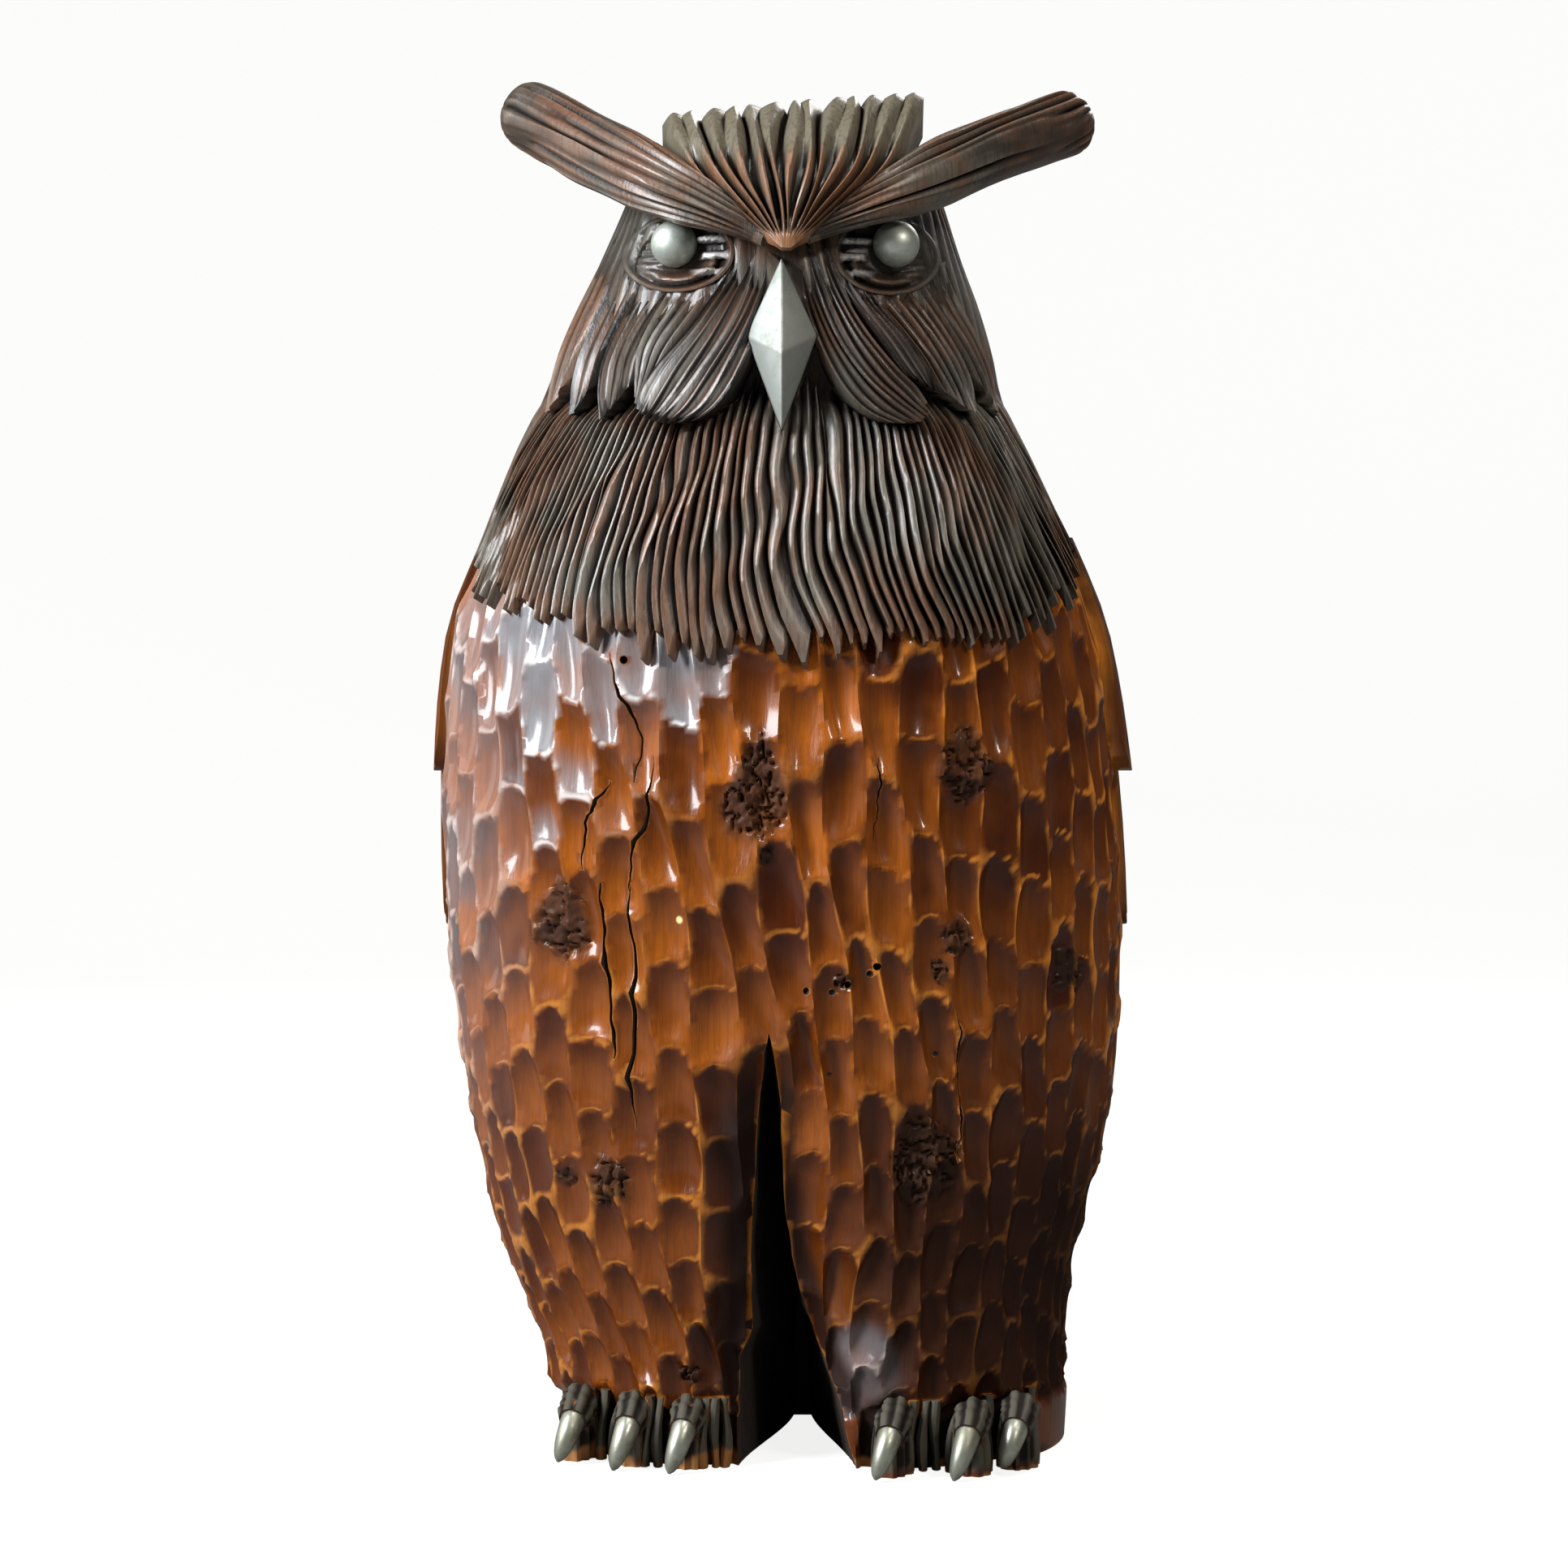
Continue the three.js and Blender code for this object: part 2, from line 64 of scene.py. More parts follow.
lens = bpy.data.cameras.new("owl_camera")
lens.sensor_width = 36
lens.lens = FOCAL_PIXELS / IMAGE_SIZE * lens.sensor_width
lens.clip_end = 60
camera = bpy.data.objects.new("owl_camera", lens)
camera.location = (0, -CAMERA_DISTANCE * MM, CAMERA_HEIGHT * MM)
look_down = math.atan((IMAGE_SIZE / 2 - HORIZON_ROW - TILT_EVENING) / FOCAL_PIXELS)
camera.rotation_euler = (math.pi / 2 - look_down, 0, 0)
bpy.context.scene.collection.objects.link(camera)
bpy.context.scene.camera = camera
print("lens, mm:", round(lens.lens, 1), "tilt, degrees:", round(math.degrees(look_down), 2))

# %% [markdown]
# The floor is a plain pale sheet that curves up behind the owl. It is only a stage.

# %% Lay the floor
FLOOR_RADIUS = 2.5
WALL_CURVE = 1.2
WALL_TOP = 3.4

room_shell = bmesh.new()
bmesh.ops.create_circle(room_shell, cap_ends=True, segments=96, radius=FLOOR_RADIUS)
rim = [edge for edge in room_shell.edges if edge.is_boundary]
for step in range(1, 13):
    turn = math.radians(7.5 * min(step, 12))
    pulled = bmesh.ops.extrude_edge_only(room_shell, edges=rim)
    rim = [item for item in pulled["geom"] if isinstance(item, bmesh.types.BMEdge)]
    ring = {vertex for edge in rim for vertex in edge.verts}
    reach = FLOOR_RADIUS + WALL_CURVE * math.sin(turn)
    rise = WALL_CURVE * (1 - math.cos(turn)) if step < 12 else WALL_TOP
    for vertex in ring:
        flat = math.hypot(vertex.co.x, vertex.co.y)
        vertex.co = (vertex.co.x * reach / flat, vertex.co.y * reach / flat, rise)
bmesh.ops.recalc_face_normals(room_shell, faces=room_shell.faces[:])
for face in room_shell.faces:
    face.smooth = True
floor_mesh = bpy.data.meshes.new("pale_floor")
room_shell.to_mesh(floor_mesh)
room_shell.free()
floor = bpy.data.objects.new("pale_floor", floor_mesh)
bpy.context.scene.collection.objects.link(floor)
floor_paint = bpy.data.materials.new("pale_floor")
floor_paint.use_nodes = True
floor_surface = floor_paint.node_tree.nodes["Principled BSDF"]
floor_surface.inputs["Base Color"].default_value = (0.2, 0.2, 0.195, 1)
floor_surface.inputs["Roughness"].default_value = 0.9
floor_surface.inputs["Emission Color"].default_value = (1, 1, 0.99, 1)
seen = floor_paint.node_tree.nodes.new("ShaderNodeLightPath")
glow = floor_paint.node_tree.nodes.new("ShaderNodeMath")
glow.operation = "MULTIPLY"
glow.inputs[1].default_value = 0.86
floor_paint.node_tree.links.new(seen.outputs["Is Camera Ray"], glow.inputs[0])
floor_paint.node_tree.links.new(glow.outputs[0], floor_surface.inputs["Emission Strength"])
floor_mesh.materials.append(floor_paint)
print("floor faces:", len(floor_mesh.polygons))

# %% [markdown]
# The key light is a broad, cool window to the upper left. A weak warm panel to the right and
# one behind keep the dark side readable, and the room's own light is low so that the gouge
# marks keep their dark edges.

# %% Hang the lights
def hang_panel(name, place, aim, size, watts, color):
    light = bpy.data.lights.new(name, "AREA")
    light.shape = "RECTANGLE"
    light.size, light.size_y = size
    light.energy = watts
    light.color = color
    panel = bpy.data.objects.new(name, light)
    panel.location = place
    towards = np.array(aim) - np.array(place)
    yaw = math.atan2(towards[1], towards[0]) - math.pi / 2
    pitch = math.acos(-towards[2] / np.linalg.norm(towards))
    panel.rotation_euler = (pitch, 0, yaw)
    bpy.context.scene.collection.objects.link(panel)
    print("light:", name, watts, "W")


hang_panel("window", (-1.8, -1.05, 1.4), (0, 0, 0.32), (0.75, 1.25), 122, (0.92, 0.96, 1.0))
hang_panel("left_wall", (-2.0, 0.5, 0.8), (0, 0, 0.3), (0.9, 1.2), 8, (1.0, 0.95, 0.9))
hang_panel("ceiling", (0.3, -0.7, 2.3), (0, 0, 0.4), (0.8, 0.8), 19, (1.0, 0.96, 0.9))
hang_panel("right_panel", (1.4, -1.9, 1.9), (0, 0, 0.45), (0.35, 0.35), 25, (1.0, 0.93, 0.84))
hang_panel("back_panel", (0.8, 1.9, 1.6), (0, 0, 0.3), (1.0, 0.8), 22, (1.0, 0.98, 0.95))

room = bpy.data.worlds.new("room")
room.use_nodes = True
room.node_tree.nodes["Background"].inputs["Color"].default_value = (0.95, 0.97, 1.0, 1)
room.node_tree.nodes["Background"].inputs["Strength"].default_value = 0.07
bpy.context.scene.world = room
bpy.context.scene.view_settings.view_transform = "Standard"

# %% [markdown]
# ## Measuring tools
# All the carving is worked out in millimetres. These small helpers blend between values,
# give a repeatable chance for each pair of numbers, and join the rows of a table with a
# smooth curve, so that a few measured stations describe the whole log.

# %% Blend, chance and smooth tables
def ramp(low, high, value):
    t = np.clip((value - low) / (high - low), 0, 1)
    return t * t * (3 - 2 * t)


def mix(a, b, t):
    return a + (b - a) * t


def chance(i, j=0):
    value = np.sin(np.asarray(i) * 12.9898 + np.asarray(j) * 78.233) * 43758.5453
    return value - np.floor(value)


def smooth_rows(table, at):
    table = np.asarray(table, float)
    keys, values = table[:, 0], table[:, 1:]
    slopes = np.gradient(values, axis=0)
    slopes[1:-1] = (values[2:] - values[:-2]) / (keys[2:] - keys[:-2])[:, None]
    slopes[0] = (values[1] - values[0]) / (keys[1] - keys[0])
    slopes[-1] = (values[-1] - values[-2]) / (keys[-1] - keys[-2])
    at = np.clip(np.asarray(at, float), keys[0], keys[-1])
    i = np.clip(np.searchsorted(keys, at, side="right") - 1, 0, len(keys) - 2)
    span = (keys[i + 1] - keys[i])[..., None]
    t = (at - keys[i])[..., None] / span
    start, rise = slopes[i] * span, values[i + 1] - values[i]
    end = slopes[i + 1] * span
    curve = values[i] + t * (start + t * (3 * rise - 2 * start - end + t * (start + end - 2 * rise)))
    return np.moveaxis(curve, -1, 0)


def bumps(points, size, seed=0):
    cells = np.asarray(points) / size + seed * 17.37
    low = np.floor(cells)
    t = cells - low
    t = t * t * (3 - 2 * t)
    total = 0
    for step in np.ndindex(2, 2, 2):
        corner = low + step
        share = np.prod(np.where(step, t, 1 - t), axis=-1)
        total = total + share * chance(corner[..., 0] + 31.7 * corner[..., 2], corner[..., 1])
    return 2 * total - 1


print("middle of a ramp:", ramp(0, 1, 0.5))

# %% [markdown]
# ## The log
# Stations up the log give its left and right half-width and its depth in front and behind.
# The angle runs from the front, positive to the right, and a squarish oval joins the four
# sides. An offset pushes a point out of the wood or into it.

# %% Describe the log
LOG = [
    [0, 106, 126, 110, 112],
    [20, 107, 127, 111, 115],
    [43, 110, 127, 112, 118],
    [60, 117, 128.5, 113, 121],
    [80, 125, 131, 115, 124],
    [105, 133, 138, 118, 127],
    [140, 140, 146, 122, 127],
    [180, 147, 150, 125, 128.5],
    [220, 151, 151, 127, 128.5],
    [260, 153, 150, 128, 127],
    [300, 153, 147, 127, 124],
    [335, 151, 143, 124, 118],
    [365, 146, 137, 120, 111],
    [400, 132, 123.5, 112, 101],
    [435, 118.5, 107.5, 102, 90],
    [460, 107.3, 97, 95, 82],
    [480, 99, 92.5, 91, 76],
    [500, 90.5, 86.5, 88, 71],
    [520, 81.5, 79, 85, 66],
    [545, 70.5, 71, 80, 56],
    [560, 65, 66, 73, 47],
    [571, 52, 54, 60, 34],
    [578, 34, 36, 42, 18],
]
SQUARENESS = 2.3
FOOT_SKEW = 9
CLEFT_TOP = 198
VALLEY = 30
VALLEY_WIDTH = 52


def valley(x, height):
    opened = 1 - ramp(30, CLEFT_TOP + 8, height)
    middle = mix(-6, 3, opened)
    near = np.clip(1 - np.abs(x - middle) / (10 + VALLEY_WIDTH * opened), 0, 1)
    return VALLEY * opened ** 0.8 * near ** 1.7


def log_point(angle, height, offset=0.0):
    angle, height, offset = np.broadcast_arrays(angle, height, offset)
    left, right, front, back = smooth_rows(LOG, height)
    side, ahead = np.sin(angle), np.cos(angle)
    power = 2 / SQUARENESS
    skew = FOOT_SKEW * side * (1 - ramp(40, 190, height))
    wide = np.where(side > 0, right, left)
    deep = np.where(ahead > 0, front + skew, back)
    x = wide * np.sign(side) * np.abs(side) ** power
    y = -deep * np.sign(ahead) * np.abs(ahead) ** power
    reach = np.hypot(x, y)
    x, y = x * (1 + offset / reach), y * (1 + offset / reach)
    y = y + np.where(ahead > 0, valley(x, height), 0)
    return np.stack([x, y, height], axis=-1)


def angle_of(x, height):
    left, right = smooth_rows(LOG, height)[:2]
    share = np.minimum(0.999, np.abs(x) / np.where(x > 0, right, left))
    return np.sign(x) * np.arcsin(share ** (SQUARENESS / 2))


def photo_spot(column, row):
    depth = CAMERA_DISTANCE - 120.0
    for _ in range(4):
        x = (column - MIDDLE_COLUMN) * depth / FOCAL_PIXELS
        z = CAMERA_HEIGHT - (row - HORIZON_ROW) * depth / FOCAL_PIXELS
        depth = CAMERA_DISTANCE + log_point(angle_of(x, z), z)[1]
    return float(x), float(z)


print("half-width at the chest, mm:", smooth_rows(LOG, 300)[:2])

# %% [markdown]
# ## Sheets that become solid wood
# Each carved form starts as a flat grid. Its points are then moved to their carved places
# all at once. A **sleeve** is rolled into a tube and its ends are closed. A **plate** is
# first extruded, so that it has a carved front and a hidden back inside the log. The
# columns follow the tool's strokes, so every ridge and groove stays sharp.

# %% Roll a sleeve, extrude a plate
WOODS = ["varnished_wood", "stained_wood", "shaded_torn_wood"]
# Of these marks, the sixth is a pale film of painted sheen and the seventh is painted shade.
MARKS = ["knot", "inward", "run", "stain", "tone", "bloom", "shade"]
WOOD_MATERIALS = [bpy.data.materials.new(name) for name in WOODS]


def finish_form(form, name, wood, marks):
    bmesh.ops.recalc_face_normals(form, faces=form.faces[:])
    open_edges = sum(not edge.is_manifold for edge in form.edges)
    mesh = bpy.data.meshes.new(name)
    form.to_mesh(mesh)
    form.free()
    for material in WOOD_MATERIALS:
        mesh.materials.append(material)
    mesh.polygons.foreach_set("material_index", [WOODS.index(wood)] * len(mesh.polygons))
    for key in MARKS:
        mark = mesh.attributes.new(key, "FLOAT", "POINT")
        if marks and key in marks:
            mark.data.foreach_set("value", marks[key])
    piece = bpy.data.objects.new(name, mesh)
    bpy.context.scene.collection.objects.link(piece)
    if open_edges:
        print("open edges in", name, open_edges)
    return piece


def put_points(form, points):
    for vertex, point in zip(form.verts, points * MM):
        vertex.co = point


def roll_sleeve(name, columns, rows, place, wood="stained_wood", fine=None):
    form = bmesh.new()
    bmesh.ops.create_grid(form, x_segments=columns, y_segments=rows, size=0.5)
    if fine:
        middles = np.array([face.calc_center_median() for face in form.faces]) + 0.5
        chosen = fine(middles[:, 0] * columns, middles[:, 1] * rows)
        edges = {edge for face, pick in zip(form.faces, chosen) if pick for edge in face.edges}
        bmesh.ops.subdivide_edges(form, edges=list(edges), cuts=2, use_grid_fill=True)
    flat = np.array([vertex.co for vertex in form.verts]) + 0.5
    column, row = flat[:, 0] * columns, flat[:, 1] * rows
    points, marks = place(np.where(column > columns - 0.01, 0, column), row)
    put_points(form, points)
    layers = {key: form.verts.layers.float.new(key + "_here") for key in marks}
    for key, layer in layers.items():
        for vertex, value in zip(form.verts, marks[key]):
            vertex[layer] = value
    seam = [v for v, c in zip(form.verts, column) if c < 0.01 or c > columns - 0.01]
    bmesh.ops.remove_doubles(form, verts=seam, dist=1e-6)
    bmesh.ops.holes_fill(form, edges=[edge for edge in form.edges if edge.is_boundary])
    kept = {key: [vertex[layer] for vertex in form.verts] for key, layer in layers.items()}
    for layer in layers.values():
        form.verts.layers.float.remove(layer)
    return finish_form(form, name, wood, kept)


def extrude_plate(name, columns, rows, place, wood="stained_wood"):
    form = bmesh.new()
    bmesh.ops.create_grid(form, x_segments=columns, y_segments=rows, size=0.5)
    made = bmesh.ops.extrude_face_region(form, geom=form.faces[:])
    backs = [item for item in made["geom"] if isinstance(item, bmesh.types.BMVert)]
    bmesh.ops.translate(form, verts=backs, vec=(0, 0, -1))
    flat = np.array([vertex.co for vertex in form.verts])
    made = place((flat[:, 0] + 0.5) * columns, (flat[:, 1] + 0.5) * rows, flat[:, 2] > -0.5)
    points, marks = made if isinstance(made, tuple) else (made, None)
    put_points(form, points)
    return finish_form(form, name, wood, marks)


print("woods:", WOODS)

# %% [markdown]
# ## Knots
# The wood has rough, pitted knots where the gouge tore the grain. They are listed by the
# pixel where each shows, with half its width and height in pixels.

# %% Mark the knots
KNOTS = [
    (930, 968, 44, 80),
    (1198, 935, 38, 48),
    (688, 1132, 44, 54),
    (746, 1455, 29, 34),
    (690, 1447, 20, 18),
    (1146, 1425, 48, 64),
    (1330, 1192, 28, 34),
    (1190, 1152, 22, 28),
    (1042, 1206, 16, 12),
    (846, 1696, 18, 12),
    (1165, 1195, 12, 16),
    (944, 1050, 14, 20),
]
KNOT_SPOTS = []
for column, row, half_wide, half_high in KNOTS:
    x, z = photo_spot(column, row)
    KNOT_SPOTS.append((x, z, half_wide * 0.35, half_high * 0.35))
print("knots:", len(KNOT_SPOTS), "first at x, z in mm:", [round(v) for v in KNOT_SPOTS[0][:2]])


def knot_at(points, margin=0.0):
    x, y, z = np.moveaxis(points, -1, 0)
    ragged = 0.35 * bumps(points * (1, 1, 0.7), 8, 3)
    mark = np.zeros_like(x)
    for cx, cz, wide, high in KNOT_SPOTS:
        away = np.hypot((x - cx) / (wide + margin), (z - cz) / (high + margin)) + ragged
        mark = np.maximum(mark, (1 - ramp(0.6, 1.05, away)) * (y < 0))
    return mark

# %% [markdown]
# ## Gouge marks
# The flanks are cut in lanes with a wide gouge. Each stroke digs in steeply at its top and
# runs out shallow at its foot, where the next stroke cuts it off, so the marks look like
# rounded scales with a thin ridge between lanes. The lanes wander a little, the marks grow
# longer towards the chest, and no two are quite alike.

# %% Describe one gouge mark
FRONT_LANES = 26
BACK_LANES = 18
SCOOP_DEPTH = 5.3
SCOOP_SHORT = 26
SCOOP_GROWTH = 14
LANE_DRIFT = 0.13

around = np.radians(np.linspace(-90, 270, 721))
walk = np.linalg.norm(np.diff(log_point(around, 220.0), axis=0), axis=1)
walk = np.concatenate([[0], np.cumsum(walk)])
front_walk = np.interp(np.radians(90), around, walk)


def lane_angle(lane):
    front = front_walk * lane / FRONT_LANES
    back = front_walk + (walk[-1] - front_walk) * (lane - FRONT_LANES) / BACK_LANES
    return np.interp(np.where(lane <= FRONT_LANES, front, back), walk, around)


def lane_wander(lane, height):
    calm = np.sin(np.pi * np.clip(lane / FRONT_LANES, 0, 1)) ** 0.4
    slow = np.sin(height / 47 + 0.35 * lane)
    quick = np.sin(height / 17 + 1.9 * lane)
    return calm * (0.24 * slow + 0.1 * quick)


def lane_drift(angle, height):
    return LANE_DRIFT * (1 - height / 345) * np.clip(np.cos(angle), 0, 1)


def stroke_count(height):
    rate = SCOOP_GROWTH / 350
    return np.log(1 + rate * height / SCOOP_SHORT) / rate


def stroke_height(count):
    rate = SCOOP_GROWTH / 350
    return (np.exp(rate * count) - 1) * SCOOP_SHORT / rate


def lane_phase(whole):
    return 0.5 * whole + 0.45 * chance(whole, 1)


def one_stroke(lane, height, whole, scoop):
    side = 2 * (lane - whole) - 1
    near = np.clip(side, -1.2, 1.2)
    arch = mix(0.17, -0.1, ramp(250, 320, height)) + 0.1 * (chance(scoop, whole + 3) - 0.5)
    tilt = 0.2 * (chance(scoop, whole + 9) - 0.5)
    spot = stroke_count(height) + lane_phase(whole) + arch * near ** 2 + tilt * near
    middle = scoop + 0.5 + 0.26 * (chance(whole, scoop) - 0.5)
    along = (spot - middle) * 2 / (1.25 + 0.2 * chance(scoop, whole + 5))
    across = side / (1.14 + 0.08 * chance(scoop, whole))
    ends = np.where(along > 0, 1.3 * along ** 3, 1.15 * np.abs(along) ** 2.2)
    deep = SCOOP_DEPTH * (0.75 + 0.5 * chance(scoop, whole + 7))
    oval = 1 - across ** 2 - ends
    return deep * oval, along, oval


def gouge(lane, height):
    depths, runs, tones, lanes, wholes, middles, ovals = [], [], [], [], [], [], []
    for step in (-1, 0, 1):
        whole = np.floor(lane) + step
        first = np.floor(stroke_count(height) + lane_phase(whole))
        for more in (-1, 0, 1):
            depth, along, oval = one_stroke(lane, height, whole, first + more)
            depths.append(depth)
            ovals.append(oval)
            runs.append(along)
            tones.append(chance(first + more, whole + 2))
            lanes.append(step)
            wholes.append(whole + 0.5)
            middles.append(stroke_height(first + more + 0.5 - lane_phase(whole)))
    depths, runs, tones, lanes = (np.array(rows) for rows in (depths, runs, tones, lanes))
    best, here = depths.argmax(axis=0), np.arange(len(lane))
    steep = np.where(lanes[:, None] == lanes[best][None, :], 0.7, 1.7)
    gap = (depths[best, here] - depths) / steep
    gap[best, here] = 9
    inward = np.minimum(gap.min(axis=0), 2.4 * (np.array(ovals)[best, here] + 0.02))
    owner = np.array(wholes)[best, here], np.array(middles)[best, here]
    return np.maximum(0, depths[best, here]), inward, runs[best, here], tones[best, here], owner


def ridge_shift(lane, height):
    whole = np.floor(lane)
    first = np.floor(stroke_count(height) + lane_phase(whole))
    best = np.full_like(height, 99.0)
    for more in (-1, 0):
        gaps = []
        for lift in (0, 0.5):
            lower, upper = (one_stroke(lane, height + lift, whole, first + more + k)[0] for k in (0, 1))
            gaps.append(lower - upper)
        shift = 0.5 * gaps[0] / (gaps[0] - gaps[1])
        best = np.where(np.abs(shift) < np.abs(best), shift, best)
    return best


heights = np.linspace(60, 340, 500)
print("deepest cut, mm:", round(float(gouge(np.full(500, 14.5), heights)[0].max()), 2))

# %% [markdown]
# The bib's lower edge is a shallow curve that rises to the sides. The front of each leg is
# cut back over the toes, with a small arch over every claw.

# %% Find the hem and the cuffs
BIB_SPREAD = 74
BIB_MIDDLE = 346
BIB_SIDE_RISE = 44
TOES = [
    {"name": "claw_left_1", "x": -92, "front": -86, "wide": 11, "tip": 3},
    {"name": "claw_left_2", "x": -68, "front": -98, "wide": 12, "tip": 1.5},
    {"name": "claw_left_3", "x": -44, "front": -105, "wide": 11, "tip": 1.5},
    {"name": "claw_right_1", "x": 43, "front": -122, "wide": 11, "tip": 2.5},
    {"name": "claw_right_2", "x": 76, "front": -120, "wide": 12, "tip": 1.5},
    {"name": "claw_right_3", "x": 97, "front": -106, "wide": 11, "tip": 4},
]


def hem_height(angle):
    turned = np.minimum(1, np.abs(angle) / np.radians(BIB_SPREAD))
    lifted = 6 * (1 - ramp(0.2, 0.9, angle)) * (1 - ramp(0.9, 1.2, -angle))
    return BIB_MIDDLE + BIB_SIDE_RISE * turned ** 2.2 + lifted


def cuff_height(x):
    arch = np.zeros_like(x)
    for toe in TOES:
        arch = np.maximum(arch, 1 - ((x - toe["x"] - 3) / (toe["wide"] + 2)) ** 2)
    return 22 + 6 * arch


def toe_band(x):
    left_foot = 1 - ramp(-24, -18, x)
    right_foot = ramp(31, 36, x) * (1 - ramp(103, 109, x))
    return left_foot + right_foot


def turned_back(angle):
    return np.where(angle > np.pi, angle - 2 * np.pi, angle)


print("hem at the middle and the side, mm:", hem_height(np.radians([0, 74])))

# %% [markdown]
# ## The trunk
# A sleeve with six columns to each lane in front and four behind gives the gouge marks
# their crisp ridges. The knots get a finer grid, so that their pits are real.

# %% Carve the trunk
TRUNK_ROWS = 139
LANE_COLUMNS = 6
BACK_COLUMNS = 3
FRONT_COLUMNS = FRONT_LANES * LANE_COLUMNS
TRUNK_COLUMNS = FRONT_COLUMNS + BACK_LANES * BACK_COLUMNS


def trunk_lane(column):
    back = FRONT_LANES + (column - FRONT_COLUMNS) / BACK_COLUMNS
    return np.where(column <= FRONT_COLUMNS, column / LANE_COLUMNS, back)


def trunk_angle(lane, height):
    wander = np.where(lane < FRONT_LANES, lane_wander(lane, height), 0)
    angle = lane_angle(lane + wander)
    return angle + lane_drift(angle, height)


def trunk_spot(column, row):
    lane = trunk_lane(column)
    top = hem_height(turned_back(lane_angle(lane))) + 5
    height = np.minimum(row / (TRUNK_ROWS - 2), 1) * top
    shift = ridge_shift(lane, height)
    clear = knot_at(log_point(trunk_angle(lane, height), height), 5.0) < 0.01
    settled = clear & (np.abs(shift) < 0.45 * top / TRUNK_ROWS) & (row > 1) & (row < TRUNK_ROWS - 3)
    height = height + np.where(settled, shift, 0)
    angle = trunk_angle(lane, height)
    height = height + np.clip(row - TRUNK_ROWS + 2, 0, 2) * 6
    return lane, angle, height


# Painted sheen: a pale grey film stands for the window's reflection in the top row of gouge marks at the upper
# left of the chest, at the foot of some marks in the second row, on the left flank and on a patch of the right
# foot.
def painted_sheen_at(skin, owner, run):
    lane, middle = owner
    angle = trunk_angle(lane, middle)
    x = log_point(angle, middle)[:, 0]
    below_hem = hem_height(turned_back(angle)) - middle
    first_row = 1 - ramp(38, 46, below_hem)
    second_row = 0.7 * (1 - ramp(76, 84, below_hem)) * ramp(0.1, -0.6, run) * (1 - ramp(-80, -70, x))
    whole = np.maximum(first_row, second_row) * (1 - ramp(-34, -26, x))
    whole = whole * mix(0.45, 1, ramp(-132, -120, x))
    whole = whole * (0.75 + 0.35 * chance(lane, np.round(middle)))
    x, y, z = skin.T
    flank = 0.55 * (1 - ramp(-152, -100, x)) * ramp(70, 300, z)
    cloud = 0.25 * bumps(skin, 13, 7)
    foot = np.minimum(np.hypot((x - 37) / 16, (z - 46) / 20), np.hypot((x - 30) / 7, (z - 27) / 22))
    foot = 0.85 * (1 - ramp(0.6, 1.15, foot + cloud))
    return np.where(y < 30, np.maximum(np.maximum(whole, flank), foot), 0)


# Painted shade: darker beside the walls of the split, at the lower right corner and low on the right leg, where
# the light from the left does not reach.
def shade_at(skin):
    x, y, z = skin.T
    left_edge = np.interp(z, [0, 52, 82, 150, 198, 230], [-21, -21, -15, -12, -6, 10])
    right_edge = np.interp(z, [0, 32, 60, 76, 100, 165, 198, 230], [29, 24, 15, 9, 3, -1.5, -4, -12])
    cloud = 7 * bumps(skin * (1, 1, 0.5), 14, 11)
    left_wall = (1 - ramp(8, 27, left_edge - x + cloud)) * (x < 0)
    right_wall = 0.92 * (1 - ramp(3, 12, x - right_edge + 0.5 * cloud)) * (x >= 0)
    corner = 0.9 * ramp(78, 112, x + cloud) * (1 - ramp(105, 190, z + cloud))
    leg = 0.78 * ramp(12, 55, x + cloud) * (1 - ramp(90, 200, z + 2 * cloud))
    walls = np.maximum(left_wall, right_wall) * (1 - ramp(160, 200, z))
    return np.maximum(np.maximum(walls, corner), leg) * (1 - ramp(0, 60, y))


def place_trunk(column, row):
    lane, angle, height = trunk_spot(column, row)
    skin = log_point(angle, height)
    knot = knot_at(skin)
    cuff = cuff_height(skin[:, 0])
    above = ramp(-1.5, 2.5, height - cuff)
    front = ramp(-0.5, -0.2, np.cos(angle)) * toe_band(skin[:, 0])
    cut, inward, run, tone, owner = gouge(lane, height)
    cut = cut * (1 - 0.55 * knot) * above
    torn = bumps(skin * (1.3, 1, 1.1), 6.5, 1) + 0.5 * bumps(skin * (2, 1, 1.5), 3.2, 2)
    flakes = bumps(skin * (2.4, 1, 1.2), 2.4, 6)
    pits = knot * (0.8 + 2.8 * np.exp(-(torn / 0.17) ** 2) + 0.7 * flakes)
    slack = 0.5 * bumps(skin, 26, 4)
    toes_back = 7 * front * (1 - above)
    inside = 4 * np.clip(row - TRUNK_ROWS + 2, 0, 2)
    depth = cut + pits + toes_back
    stain = (1 - above) * front
    return log_point(angle, height, -depth - slack * above - 0.5 - inside), {
        "knot": knot, "inward": mix(inward, 3, 1 - above), "run": mix(run, 1, stain), "stain": stain,
        "tone": tone, "bloom": painted_sheen_at(skin, owner, run) * above, "shade": shade_at(skin) * above}


def near_knot(column, row):
    _, angle, height = trunk_spot(column, row)
    return knot_at(log_point(angle, height)) > 0.3


owl = roll_sleeve("owl_log", TRUNK_COLUMNS, TRUNK_ROWS, place_trunk, "varnished_wood", near_knot)
print("trunk points:", len(owl.data.vertices))

# %% [markdown]
# ## The bib
# About fifty long locks hang from the chin to the chest. They lean to the left half way
# down and flick to the right at their ends. Some locks start between two others and some
# run out, which keeps them from looking ruled. Each lock is rounded, with a deep narrow
# groove beside it, and ends in a point.

# %% Carve the bib
BIB_TOP = 466
LOCKS = 72
LOCK_COLUMNS = 5
BIB_ROWS = 34
BIB_GROOVE = 4.8
BIB_PROUD = 3.0
LOCK_POINT = 14
PLAIN_COLUMNS = 36


